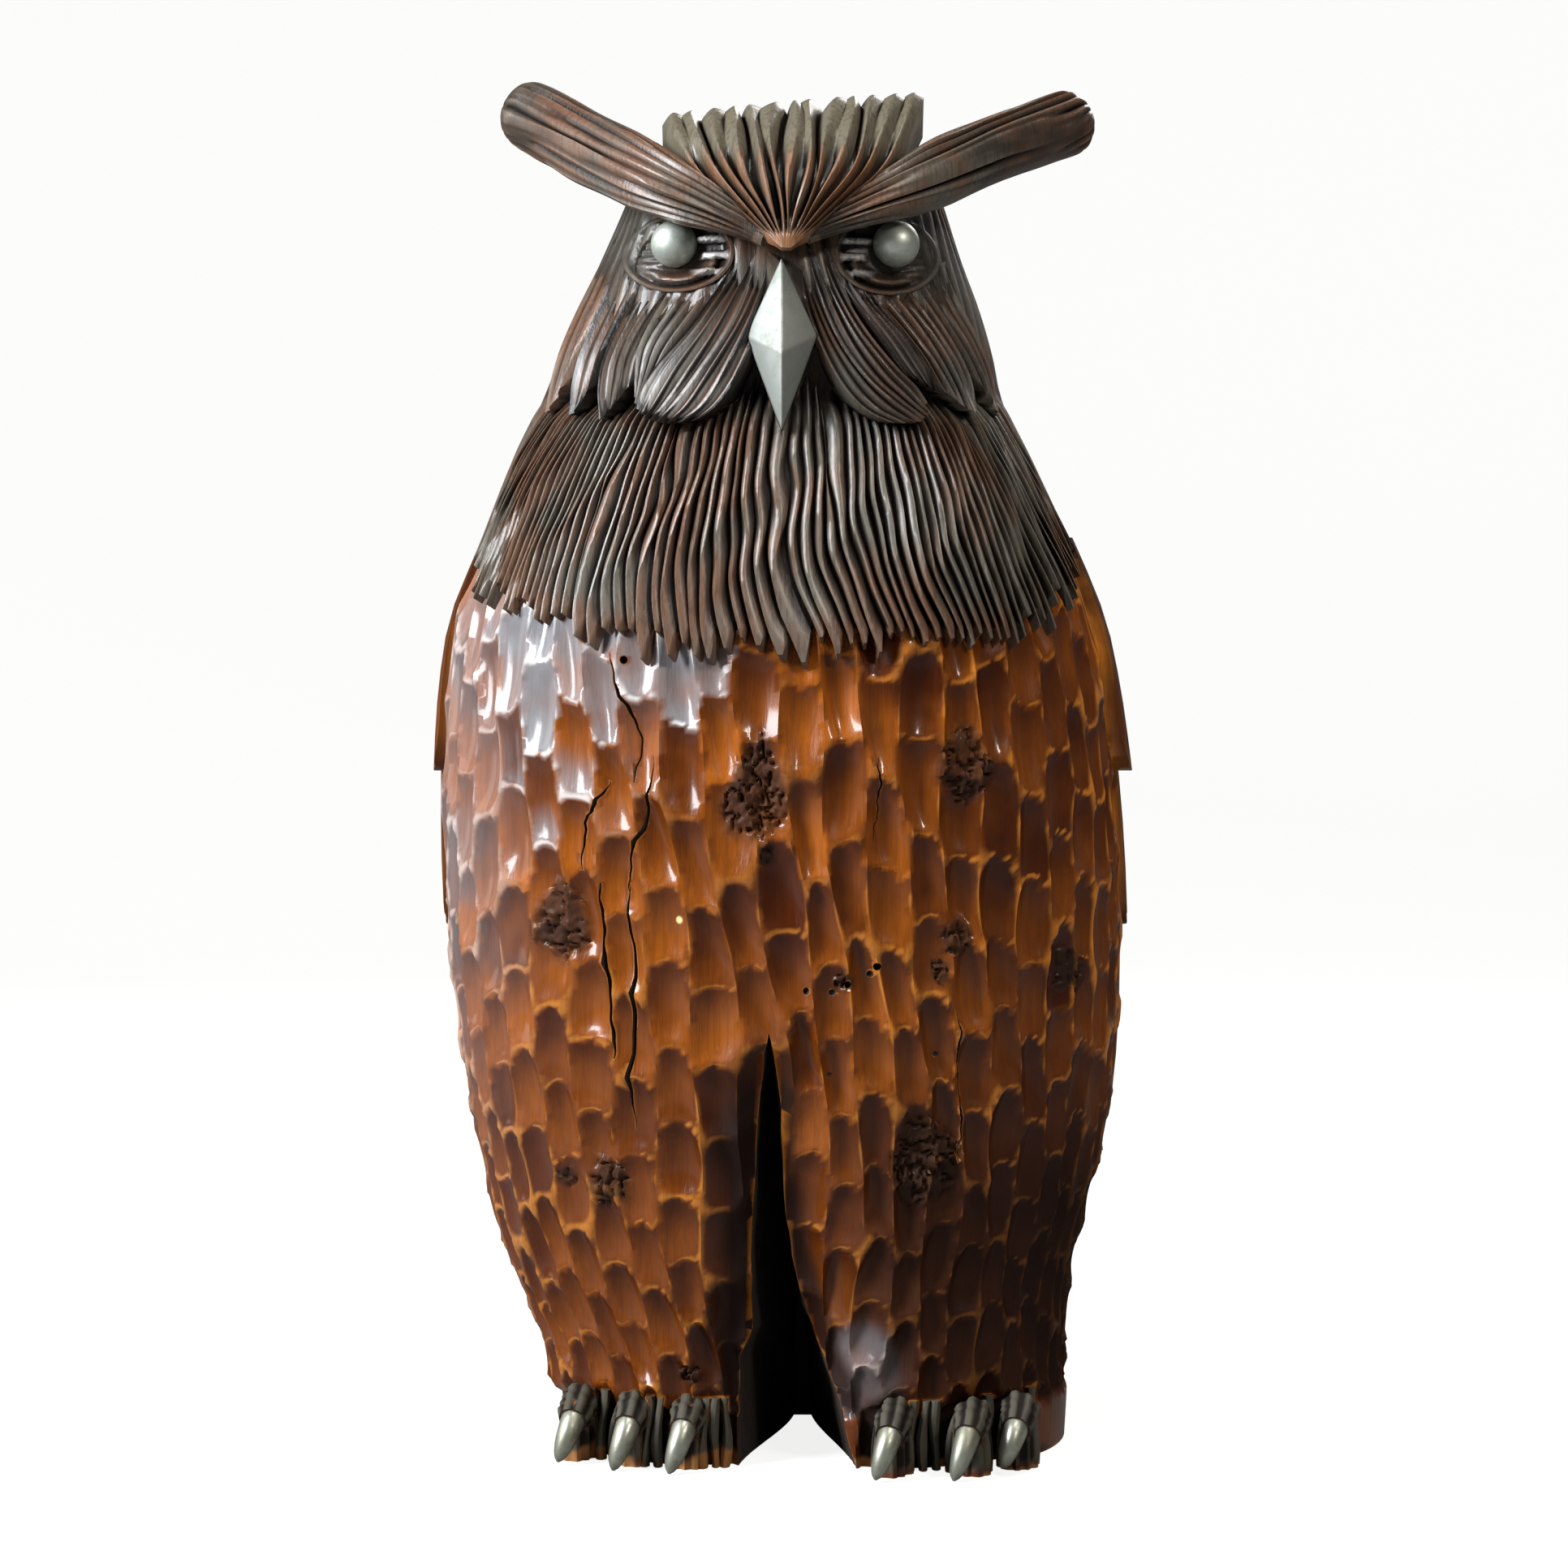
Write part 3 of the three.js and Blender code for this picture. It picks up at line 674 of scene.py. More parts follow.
def lock_angle(share, fall):
    sway = -3.2 * np.sin(np.pi * np.minimum(1, fall)) * (1 - ramp(0.25, 0.6, share))
    flick = 1.6 * ramp(0.6, 1.05, fall) + 5 * np.maximum(0, share) * fall ** 2
    spread = BIB_SPREAD * np.where(share < 0, mix(0.86, 1, fall), 1)
    return np.radians(spread * share * (1 + 0.04 * fall) + sway + flick)


def lock_widths(fall):
    lock = np.arange(LOCKS)[None, :]
    fall = fall[:, None]
    wave = np.sin(2 * np.pi * (fall * (0.5 + 0.8 * chance(lock, 5)) + chance(lock, 6)))
    wide = 0.75 + 0.5 * chance(lock, 4) + 0.1 * wave
    pair = wide[:, 0::2] + wide[:, 1::2]
    first = lock[:, 0::2]
    begin = 0.1 + 0.5 * chance(first, 11)
    forks, merges = chance(first, 8) < 0.16, chance(first, 8) > 0.88
    share = wide[:, 0::2] / pair
    share = np.where(forks, mix(0.06, share, ramp(begin, begin + 0.3, fall)), share)
    share = np.where(merges, mix(share, 0.06, ramp(begin, begin + 0.35, fall)), share)
    flip = chance(first, 13) < 0.5
    wide[:, 0::2] = pair * np.where(flip, share, 1 - share)
    wide[:, 1::2] = pair - wide[:, 0::2]
    return wide


def place_bib(column, row):
    fall = (1 - row / BIB_ROWS) ** 0.85
    widths = lock_widths(fall)
    edges = np.concatenate([np.zeros((len(fall), 1)), np.cumsum(widths, axis=1)], axis=1)
    lock = np.clip(np.floor(column / LOCK_COLUMNS).astype(int), 0, LOCKS - 1)
    part = np.clip(column / LOCK_COLUMNS - lock, 0, 1)
    here = np.arange(len(fall))
    width = widths[here, lock]
    share = 2 * (edges[here, lock] + part * width) / edges[:, -1] - 1
    angle = lock_angle(share, fall)
    plain = column > LOCKS * LOCK_COLUMNS
    back_start, back_end = lock_angle(1.0, fall), lock_angle(-1.0, fall) + 2 * np.pi
    along_back = (column - LOCKS * LOCK_COLUMNS) / PLAIN_COLUMNS
    angle = np.where(plain, mix(back_start, back_end, along_back), angle)
    wavy = 0.005 * np.sin(fall * 13 + lock * 0.55) + 0.003 * np.sin(fall * 23 + lock * 1.3)
    angle = angle + np.where(plain, 0, wavy * np.sin(np.pi * fall))
    side = np.abs(2 * part - 1)
    edge_fade = 1 - 0.5 * ramp(0.9, 1, np.abs(share))
    crest = 0.9 * np.sin(fall * 6 + lock * 1.7) * chance(lock, 12)
    narrow = 1 - np.minimum(1, width / 0.55)
    sharp = side ** (1.2 + 1.4 * chance(lock, 16))
    groove = BIB_GROOVE * edge_fade * (sharp + narrow * 0.8) * (0.75 + 0.4 * chance(lock, 15))
    wide_lock = (column - LOCKS * LOCK_COLUMNS) / 2
    gap = np.abs(2 * (wide_lock - np.floor(wide_lock)) - 1)
    groove = np.where(plain, 2.6 * gap * ramp(0, 0.3, fall), groove - crest * (1 - side))
    point = LOCK_POINT * (0.4 + 1.2 * chance(lock, 3)) * (1 - side) * np.minimum(1, width / 0.6)
    point = np.where(plain, (6 + 6 * chance(np.floor(wide_lock), 2)) * (1 - gap), point)
    hem = hem_height(turned_back(angle)) + 6 - point
    height = mix(BIB_TOP, hem, fall)
    sink = np.where(row < 0.5, 5, 0)
    under_chin = (1 - ramp(0.0, 0.2, fall)) * mix(2, 9, ramp(0.3, 0.7, np.cos(angle)))
    lift = BIB_PROUD * ramp(0, 0.5, fall) * np.where(plain, 0.6, 1)
    points = log_point(angle, height, lift - groove - sink - under_chin)
    # Painted shade under the tip of the beak, at the top of the bib.
    dark = (1 - ramp(0.08, 0.3, fall)) * ramp(0.75, 0.97, np.cos(angle - 0.06))
    return points, {"shade": np.where(plain, 0, dark)}


bib = roll_sleeve("bib", LOCKS * LOCK_COLUMNS + PLAIN_COLUMNS, BIB_ROWS, place_bib)
print("bib locks:", LOCKS)

# %% [markdown]
# ## The head
# The head narrows to a rounded crown. Fine hair-like strokes run down it, and it is cut in
# under the chin, so that the face feathers stand free of the bib.

# %% Carve the head
HEAD_STRANDS = 60
HEAD_ROWS = 26


def place_head(column, row):
    strand = column / 3
    height = mix(438, 578, row / HEAD_ROWS)
    angle = 2 * np.pi * (strand + 0.3 * np.sin(height / 13 + strand)) / HEAD_STRANDS
    side = np.abs(2 * (strand - np.floor(strand)) - 1)
    chin = 8 * (1 - ramp(450, 477, height)) * ramp(0.0, 0.4, np.cos(angle))
    neck = np.where(np.cos(angle) > 0, 6, 2) * (1 - ramp(438, 456, height))
    groove = 1.3 * side ** 2 * (1 - ramp(560, 576, height)) * (0.5 + chance(np.floor(strand)))
    points = log_point(angle, height, -np.maximum(chin, neck) - groove)
    return points, {}


head = roll_sleeve("head", HEAD_STRANDS * 3, HEAD_ROWS, place_head)

# %% [markdown]
# ## Ear tufts
# Each ear is a long blunt club that runs from the forelock, over the eye, out past the
# head. It is a sleeve round a curved line, with grooves along it.

# %% Carve the ears
EARS = [
    {"path": [[0, -7, -96, 524], [0.25, -44, -84, 543], [0.5, -80, -46, 564],
              [0.8, -108, -10, 582.5], [1, -122, 2, 589.5]], "high": 16, "name": "ear_left"},
    {"path": [[0, 9, -96, 525], [0.25, 48, -84, 543], [0.5, 86, -46, 564],
              [0.8, 121, -8, 580], [1, 135, 4, 586]], "high": 14.5, "name": "ear_right"},
]
EAR_GROOVES = 16
EAR_ROWS = 46


def unit(vectors):
    return vectors / np.linalg.norm(vectors, axis=-1, keepdims=True)


def place_ear(ear, column, row):
    t = mix(row / EAR_ROWS, np.sin(np.pi / 2 * row / EAR_ROWS), 0.8)
    centre = np.stack(smooth_rows(ear["path"], t), axis=-1)
    ahead = np.stack(smooth_rows(ear["path"], t + 0.01), axis=-1)
    behind = np.stack(smooth_rows(ear["path"], t - 0.01), axis=-1)
    along = unit(ahead - behind)
    across = unit(np.cross([0, 0, 1], along))
    up = np.cross(along, across)
    end = np.sqrt(np.clip(1 - (np.clip(t - 0.84, 0, 1) / 0.16) ** 2, 0, 1))
    radius = ear["high"] * (0.35 + 0.65 * ramp(0, 0.4, t)) * np.maximum(0.06, end)
    number = column / 4
    groove = np.floor(number) % EAR_GROOVES
    side = np.abs(2 * (number - np.floor(number)) - 1)
    fade = np.clip(1.5 * np.sin(np.pi * (t * (0.7 + chance(groove, 4)) + chance(groove, 5))) + 0.9, 0, 1)
    ridge = 2.8 * ramp(0, 0.2, t) * end * side ** 2 * fade * (0.6 + 0.6 * chance(groove, 2))
    ridge = ridge * (1 - 0.75 * ramp(0.88, 0.98, t)) + 0.7 * end * bumps(centre * (0.5, 0.5, 0.5) + groove[:, None] * 3.1, 9, 6)
    turn = 2 * np.pi * number / EAR_GROOVES + 0.3 * np.sin(3 * t) + 0.05 * np.sin(9 * t + number)
    points = centre + across * (np.cos(turn) * (radius * 0.85 - ridge))[:, None]
    return points + up * (np.sin(turn) * (radius - ridge))[:, None], {}


ears = [roll_sleeve(ear["name"], EAR_GROOVES * 4, EAR_ROWS,
                    lambda column, row, ear=ear: place_ear(ear, column, row)) for ear in EARS]

# %% [markdown]
# ## The forelock
# A fan of ten rounded pleats rises from one point between the eyes, folds over at the brow
# and lies back on the crown. The rows give its left and right end, and how far it bows out.

# %% Carve the forelock
PLEATS = 13
PLEAT_COLUMNS = 8
PLEAT_DEEP = 4.2
FAN_ROWS = 42
FORELOCK = [
    [0, -1, -107, 518, 3, -107, 518, 0],
    [1, -18, -98, 533, 22, -98, 534, 8],
    [2, -40, -84, 553, 46, -84, 555, 17],
    [3, -51, -66, 573, 58, -64, 582, 13],
    [4, -52, -46, 580.5, 60, -42, 590, 8],
    [5, -46, 20, 571, 52, 22, 576, 0],
]


def place_forelock(column, row, is_front):
    level = 5 * row / FAN_ROWS
    left_x, left_y, left_z, right_x, right_y, right_z, bow = smooth_rows(FORELOCK, level)
    pleat = column / PLEAT_COLUMNS
    number = np.floor(pleat)
    across = pleat / PLEATS
    across = across + 0.016 * np.sin(level * 2 + 2.2 * pleat) * np.sin(np.pi * across)
    x = mix(left_x, right_x, across)
    y = mix(left_y, right_y, across) - bow * (1 - (across * 2 - 1) ** 2)
    z = mix(left_z, right_z, across)
    outward = unit(np.stack([0 * x, -80 + 0.4 * y, z - 470], axis=-1))
    side = np.abs(2 * (pleat - number) - 1)
    below = 6.5 * ramp(0.15, 0.7, side) * ramp(0.3, 1.1, level)
    lobe_edge = (np.floor(pleat + 0.5) % 2 == 0) & (np.floor(pleat + 0.5) != 12)
    above = np.where(lobe_edge, 7.0, 2.4) * side ** 1.5
    groove = mix(below, above, ramp(2.0, 2.7, level)) * (0.75 + 0.4 * chance(np.floor(pleat + 0.5), 3))
    under = 3 + 13 * ramp(0, 1, level) + 8 * ramp(2, 4, level)
    points = np.stack([x, y, z], axis=-1) - outward * np.where(is_front, groove, under)[:, None]
    folded = ramp(2.0, 2.5, level)
    ridge = np.maximum(1 - ramp(0.05, 0.4, side), 1 - ramp(0.3, 0.7, level)) * (1 - folded)
    # Painted light: the folded top of the forelock is painted lighter olive grey, as it is lit from above.
    return points, {"tone": ridge, "stain": folded}


forelock = extrude_plate("forelock", PLEATS * PLEAT_COLUMNS, FAN_ROWS, place_forelock)

# %% [markdown]
# ## Feathers of the face and the wings
# A feather lies on the log from its root to its tip. Its strands run side by side, and each
# strand ends on its own, so that the tip is round and a little ragged. The tip stands clear
# of the wood, and the shadow under it is the dark line in the picture.

# %% Lay one feather
def quadratic(root, mid, tip, t):
    a, b, c = (1 - t) * (1 - 2 * t), 4 * t * (1 - t), t * (2 * t - 1)
    return [a * root[k] + b * mid[k] + c * tip[k] for k in (0, 1)]


def lay_feather(name, path, half, lift, strands, groove=0.9, rows=7, round_tip=0.16, back=5):
    columns = strands * 3

    def place(column, row, is_front):
        strand = column / 3
        side = 2 * column / columns - 1
        ridge = np.abs(2 * (strand - np.floor(strand)) - 1)
        length = 1 - round_tip * (1 - np.sqrt(np.clip(1 - side ** 2, 0, 1)))
        t = (1 - row / rows) * length
        angle, height = quadratic(*path, t)
        angle_on, height_on = quadratic(*path, t + 0.01)
        here, on = log_point(angle, height), log_point(angle_on, height_on)
        radius = np.hypot(here[:, 0], here[:, 1])
        dz, ds = on[:, 2] - here[:, 2], (angle_on - angle) * radius
        step = np.hypot(ds, dz)
        reach = side * half * (0.35 + 0.65 * ramp(0, 0.55, t))
        crown = lift * (0.55 + 0.45 * t) * (1 - 0.35 * side ** 2)
        crown = crown - groove * ridge ** 2 * ramp(0, 0.2, t)
        turned = angle - dz / step * reach / radius
        points = log_point(turned, height + ds / step * reach, np.where(is_front, crown, -back))
        rim = np.minimum(1 - np.abs(side), 1.2 * (length - t) * rows / 4)
        inward = np.minimum(0.25 + 2.2 * rim, 0.75 + 0.6 * ridge)
        # Each wing feather carries half-strength painted shade.
        return points, {"inward": inward, "run": 0.5 - 1.2 * t + 0.3 * ridge,
                        "tone": 0.2 + 0.4 * chance(columns + half, lift) + 0 * t, "shade": 0.5 + 0 * t}

    return extrude_plate(name, columns, rows, place, "varnished_wood")

# %% Carve the face
LOBES = [
    {"name": "cheek_d", "strands": 3, "lift": 4, "red": 0.3,
     "inner": [(764, 300), (746, 362), (727, 420), (713, 458), (702, 490)],
     "outer": [(746, 300), (722, 362), (703, 418), (688, 465), (677, 510)]},
    {"name": "cheek_c", "strands": 3, "lift": 5, "red": 0.35,
     "inner": [(782, 338), (768, 390), (757, 432), (747, 466), (738, 494)],
     "outer": [(756, 325), (740, 378), (724, 430), (713, 472), (706, 513)]},
    {"name": "cheek_b", "strands": 5, "lift": 6, "lit_sheen": 0.25, "red": 0.3,
     "inner": [(848, 350), (818, 392), (801, 430), (794, 460), (790, 488)],
     "outer": [(778, 338), (764, 390), (752, 440), (745, 480), (742, 521)]},
    {"name": "cheek_a_side", "strands": 5, "lift": 6, "lit_sheen": 0.45,
     "inner": [(905, 345), (876, 386), (848, 424), (824, 462), (806, 496)],
     "outer": [(820, 350), (803, 388), (793, 424), (790, 462), (788, 496)]},
    {"name": "cheek_a", "strands": 8, "lift": 8.5, "lit_sheen": 0.85,
     "inner": [(958, 304), (951, 360), (938, 412), (918, 465), (890, 505), (860, 527)],
     "outer": [(914, 304), (882, 352), (848, 405), (812, 452), (793, 486), (784, 508)]},
    {"name": "cheek_right_d", "strands": 4, "lift": 4,
     "inner": [(1128, 340), (1152, 385), (1176, 428), (1193, 460), (1205, 486)],
     "outer": [(1166, 320), (1184, 372), (1202, 422), (1216, 465), (1227, 516)]},
    {"name": "cheek_right_c", "strands": 6, "lift": 5.5,
     "inner": [(1060, 350), (1092, 388), (1120, 430), (1142, 468), (1160, 502)],
     "outer": [(1134, 345), (1154, 385), (1174, 430), (1190, 468), (1200, 505)]},
    {"name": "cheek_right_a", "strands": 8, "lift": 7, "lit_sheen": 0.02, "dark": 0.45,
     "inner": [(971, 304), (989, 370), (1008, 430), (1031, 476), (1063, 510), (1102, 530)],
     "outer": [(1022, 304), (1044, 360), (1070, 408), (1100, 448), (1128, 476), (1147, 500)]},
    {"name": "cheek_right_b", "strands": 5, "lift": 8.5, "lit_sheen": 0.2,
     "inner": [(1022, 318), (1046, 364), (1074, 410), (1100, 452), (1126, 484)],
     "outer": [(1070, 345), (1094, 386), (1116, 420), (1134, 450), (1142, 478)]},
]


def lay_lobe(lobe, rows=24):
    columns = lobe["strands"] * 4
    lines = []
    for edge in ("outer", "inner"):
        spots = [photo_spot(*pixel) for pixel in lobe[edge]]
        lines.append(np.column_stack([np.linspace(0, 1, len(spots)), spots]))

    def place(column, row, is_front):
        strand = column / 4
        number = np.floor(strand)
        share = column / columns
        side = 2 * share - 1
        ridge = np.abs(2 * (strand - number) - 1)
        ragged = 0.015 * (1 - ridge)
        skew = 0.0 if "_a" in lobe["name"] else 0.4
        length = 1.0 - 0.125 * np.abs(side + skew) ** 1.7 + ragged
        t = (1 - row / rows) * length
        wave = share + 0.02 * np.sin(7 * t + number * 1.3) * np.sin(np.pi * share)
        wave = 0.5 + (wave - 0.5) * (1 - 0.14 * ramp(0.72, 0.98, t))
        outer_x, outer_z = smooth_rows(lines[0], t)
        inner_x, inner_z = smooth_rows(lines[1], t)
        x, z = mix(outer_x, inner_x, wave), mix(outer_z, inner_z, wave)
        crown = 1.15 * lobe["lift"] * (1.2 * ramp(-0.03, 0.6, t) - 0.2) * (1 - 0.45 * side ** 4)
        groove = 2.2 * ridge ** 1.6 * ramp(0, 0.1, t) * (0.7 + 0.5 * chance(number, 9))
        high = 0.6 * np.sin(number * 2.3 + 4 * t) * (1 - ridge)
        offset = np.where(is_front, crown - groove + high, -7.0)
        # Painted sheen: the face feathers are greyed towards their tips, most on the lit left side.
        lit_sheen = lobe.get("lit_sheen", 0.1) * ramp(0.2, 0.8, t) * (1 - ridge) ** 0.4
        red = lobe.get("red", 0.0) * (1 - ridge)
        # The lobe's dark value is painted shade, set on the right-hand feather.
        return log_point(angle_of(x, z), z, offset), {
            "bloom": lit_sheen, "tone": red, "shade": lobe.get("dark", 0.0) + 0 * t}

    return extrude_plate(lobe["name"], columns, rows, place)


cheeks = [lay_lobe(lobe) for lobe in LOBES]
print("face lobes:", len(cheeks))

# %% [markdown]
# The wings are folded against the sides and back, in three rows like roof tiles. They hardly
# show from the front, so they are plainer than the face.

# %% Carve the wings
WING_ROWS = [
    {"angles": (96, 152), "top": (304, 318), "bottom": (126, 168), "feathers": 5, "lift": 3.5},
    {"angles": (92, 143), "top": (372, 378), "bottom": (222, 246), "feathers": 5, "lift": 4.8},
    {"angles": (84, 130), "top": (396, 416), "bottom": (293, 306), "feathers": 4, "lift": 8},
]
WING_PROUD_LEFT = 0.4
wings = []
for side in (-1, 1):
    for level, row in enumerate(WING_ROWS):
        proud = row["lift"] * (WING_PROUD_LEFT if side < 0 else 1)
        for number in range(row["feathers"]):
            part = (number + 0.5) / row["feathers"]
            degree = mix(*row["angles"], part)
            top, low = mix(*row["top"], part), mix(*row["bottom"], part)
            radius = 148 if degree < 110 else 135
            half = radius * math.radians(row["angles"][1] - row["angles"][0]) / row["feathers"] / 2
            angle = side * math.radians(degree)
            path = [(angle, top), (angle, (top + low) / 2), (angle, low)]
            name = f"wing_{'left' if side < 0 else 'right'}_{level}_{number}"
            lift = proud - 0.25 * (number % 2)
            wings.append(lay_feather(name, path, half * 1.06, lift, 4))
print("wing feathers:", len(wings))

# %% [markdown]
# ## Joining the forms
# A carver cuts one log, so all these forms are joined into one closed skin. The Boolean
# keeps the wood that each face came from, and the marks that the trunk carries.

# %% Join and cut
def carve(body, piece, how="UNION"):
    tool = body.modifiers.new("carve", "BOOLEAN")
    tool.operation = how
    tool.solver = "MANIFOLD"
    tool.object = piece
    bpy.context.view_layer.update()
    graph = bpy.context.evaluated_depsgraph_get()
    carved = bpy.data.meshes.new_from_object(body.evaluated_get(graph))
    body.modifiers.clear()
    before, body.data = body.data, carved
    bpy.data.meshes.remove(before)
    old = piece.data
    bpy.data.objects.remove(piece)
    bpy.data.meshes.remove(old)


def round_form(name, centre, size, turn=0.0, wood="stained_wood", segments=48):
    form = bmesh.new()
    bmesh.ops.create_uvsphere(form, u_segments=segments, v_segments=segments // 2, radius=1)
    points = np.array([vertex.co for vertex in form.verts]) * size
    c, s = math.cos(turn), math.sin(turn)
    x, y = points[:, 0] * c - points[:, 1] * s, points[:, 0] * s + points[:, 1] * c
    put_points(form, np.stack([x, y, points[:, 2]], axis=-1) + centre)
    return finish_form(form, name, wood, None)


# The hollow under the chin is painted nearly black as shade.
carve(head, round_form("chin_hollow", (-1, -106, 462), (34, 23, 24), 0, "shaded_torn_wood"), "DIFFERENCE")
carve(bib, head)
for form in cheeks:
    carve(bib, form)
for form in wings:
    carve(owl, form)
print("joined faces:", len(owl.data.polygons), "and", len(bib.data.polygons))

# %% [markdown]
# ## Eye sockets
# Each eye sits in an almond hollow under the brow, on a raised bed of wood, with a thick
# lower lid.

# %% Hollow the sockets
EYES = [
    {"name": "eye_left", "x": -47, "y": -73, "z": 522.5},
    {"name": "eye_right", "x": 48, "y": -73, "z": 522.5},
]
EYE_RADIUS = 10
EYE_TURN = 0.45
SOCKETS = [
    {"x": -45.6, "z": 518.5, "wide": 26.5, "high": 16.5, "nose": 1},
    {"x": 44.3, "z": 517.7, "wide": 25.0, "high": 17.0, "nose": -1},
]
SOCKET_COLUMNS = 72
SOCKET_ROWS = 28
RIM_ROWS = 23


def socket_frame(socket):
    centre = log_point(angle_of(np.float64(socket["x"]), socket["z"]), np.float64(socket["z"]))
    turn = -socket["nose"] * EYE_TURN
    side_way = np.array([math.cos(turn), math.sin(turn), 0])
    outward = np.array([math.sin(turn), -math.cos(turn), 0])
    return centre, side_way, outward, turn


def place_socket(socket, column, row):
    turn = 2 * np.pi * column / SOCKET_COLUMNS
    front = row <= RIM_ROWS
    reach = np.where(front, 1.12 * row / RIM_ROWS, 1.12 * (SOCKET_ROWS - row) / (SOCKET_ROWS - RIM_ROWS))
    nose, up = np.cos(turn) * socket["nose"], np.sin(turn)
    lower = ramp(-0.05, 0.5, -up)
    floor = mix(-5.5, -2.2, ramp(0.1, 0.8, -nose))
    rim = mix(0.2, 1.0, ramp(-0.2, 0.6, -up))
    level = mix(floor, rim, ramp(0.82, 0.98, reach)) - 5 * ramp(1.0, 1.12, reach)
    level = level + (-0.3 - floor) * np.exp(-((reach - 0.7) / 0.13) ** 2) * lower
    fingers = np.clip(1.5 * np.cos(2 * np.pi * (up * reach * socket["high"] - 5.8) / 7.2), 0, 1)
    window = ramp(0.4, 0.5, reach) * (1 - ramp(0.84, 0.95, reach)) * ramp(0.35, 0.75, nose)
    level = level + 5 * fingers * window * (1 - 0.35 * lower)
    lines = np.sin(2 * np.pi * up * reach * socket["high"] / 3.1 + 2 * nose)
    level = level + 0.5 * lines * ramp(0.2, 0.7, -nose) * (1 - ramp(0.8, 0.95, reach))
    level = np.where(front, level, -12)
    x = socket["x"] + np.cos(turn) * reach * socket["wide"] * math.cos(EYE_TURN)
    z = socket["z"] + up * reach * socket["high"]
    # Painted highlight on the raised ridges beside the nose.
    finger_highlight = fingers * window * (1 - 0.3 * lower)
    return log_point(angle_of(x, z), z) - np.outer(level, [0, 1, 0]), {"bloom": finger_highlight}


for socket in SOCKETS:
    centre, _, outward, turn = socket_frame(socket)
    size = (socket["wide"], 12, socket["high"])
    carve(bib, round_form("hollow", centre + outward, size, turn, segments=64), "DIFFERENCE")
    carve(bib, roll_sleeve("eye_bed", SOCKET_COLUMNS, SOCKET_ROWS,
                           lambda column, row, socket=socket: place_socket(socket, column, row)))
for form in [*ears, forelock]:
    carve(bib, form)
carve(owl, bib)
print("faces with eye sockets:", len(owl.data.polygons))

# %% [markdown]
# ## Legs and toes
# A deep split parts the legs. Its walls are torn rather than cut, so they are streaked from
# top to bottom. The toes are low bulges with grooves between the claws.

# %% Split the legs and add the toes
CLEFT_APEX = (9, 26)
CLEFT_OUTLINE = [
    (-21, -2), (-21, 25), (-21, 52), (-14, 66), (-15, 82), (-15, 100), (-13, 125), (-12, 150),
    (-10, 172), (-7.5, 190), (-6, 198), (-4.5, 190), (-1.5, 165), (-1, 146), (0, 130),
    (1.5, 115), (3, 100), (9, 76), (15, 60), (19, 46), (24, 32), (28, 15), (32, -2), (6, -2),
]
SPLIT_STEPS = 4
SPLIT_ROWS = 34


def place_split(column, row):
    outline = np.array(CLEFT_OUTLINE, float)
    spot = column / SPLIT_STEPS
    first = np.floor(spot).astype(int) % len(outline)
    share = (spot - np.floor(spot))[:, None]
    x, z = np.moveaxis(mix(outline[first], outline[(first + 1) % len(outline)], share), -1, 0)
    depth = row / SPLIT_ROWS
    narrow = mix(1, 0.12, ramp(0.2, 1.1, depth))
    y = mix(-150, CLEFT_APEX[1], depth)
    z = z * mix(1, 0.72, depth)
    x = mix(CLEFT_APEX[0], x, narrow)
    here = np.stack([x, y, z], axis=-1)
    torn = 1.0 * bumps(here * (1, 2.6, 0.14), 8, 8) + 0.8 * bumps(here * (1, 1.4, 0.4), 5, 9)
    x = x + torn * ramp(-2, 10, z) * np.sin(np.pi * np.clip(depth * 1.2, 0.02, 1) ** 0.5)
    # Painted shade: the shade mark darkens the wood where the split cuts it.
    return np.stack([x, y, z], axis=-1), {"inward": 3 + 0 * x, "shade": 1 + 0 * x}


split = roll_sleeve("split", len(CLEFT_OUTLINE) * SPLIT_STEPS, SPLIT_ROWS, place_split, "shaded_torn_wood")
carve(owl, split, "DIFFERENCE")
TOE_COLUMNS = 40
TOE_ROWS = 12
COLLAR_COLUMNS = 28
COLLAR_ROWS = 8
RIBS = [-83, -78, -58.5, -53.5, -34, -29.5, -25, 54, 59.5, 64.5, 86.5, 107]


def place_toe(toe, column, row):
    turn = 2 * np.pi * column / TOE_COLUMNS
    rise = np.pi * np.clip(row / TOE_ROWS, 0.01, 0.99)
    cuts = np.abs(np.sin(turn * 5.5 + toe["x"])) ** 2 + 0.5 * np.sin(turn * 3 + toe["x"] * 2)
    groove = 2.2 * np.clip(cuts, 0, 1.3) * np.sin(rise)
    wide, deep, high = toe["wide"] - 1 - groove, 17 - groove, 24
    x = toe["x"] + 3 + wide * np.cos(turn) * np.sin(rise)
    y = toe["front"] + 19 + deep * np.sin(turn) * np.sin(rise)
    z = 5.5 - high * np.cos(rise)
    # Painted shade: the deepest parts of the grooves are marked to be painted darker.
    deepest = np.clip(cuts, 0, 1)
    return np.stack([x, y, z], axis=-1), {"stain": 1 + 0 * x, "inward": 3 + 0 * x, "run": deepest}


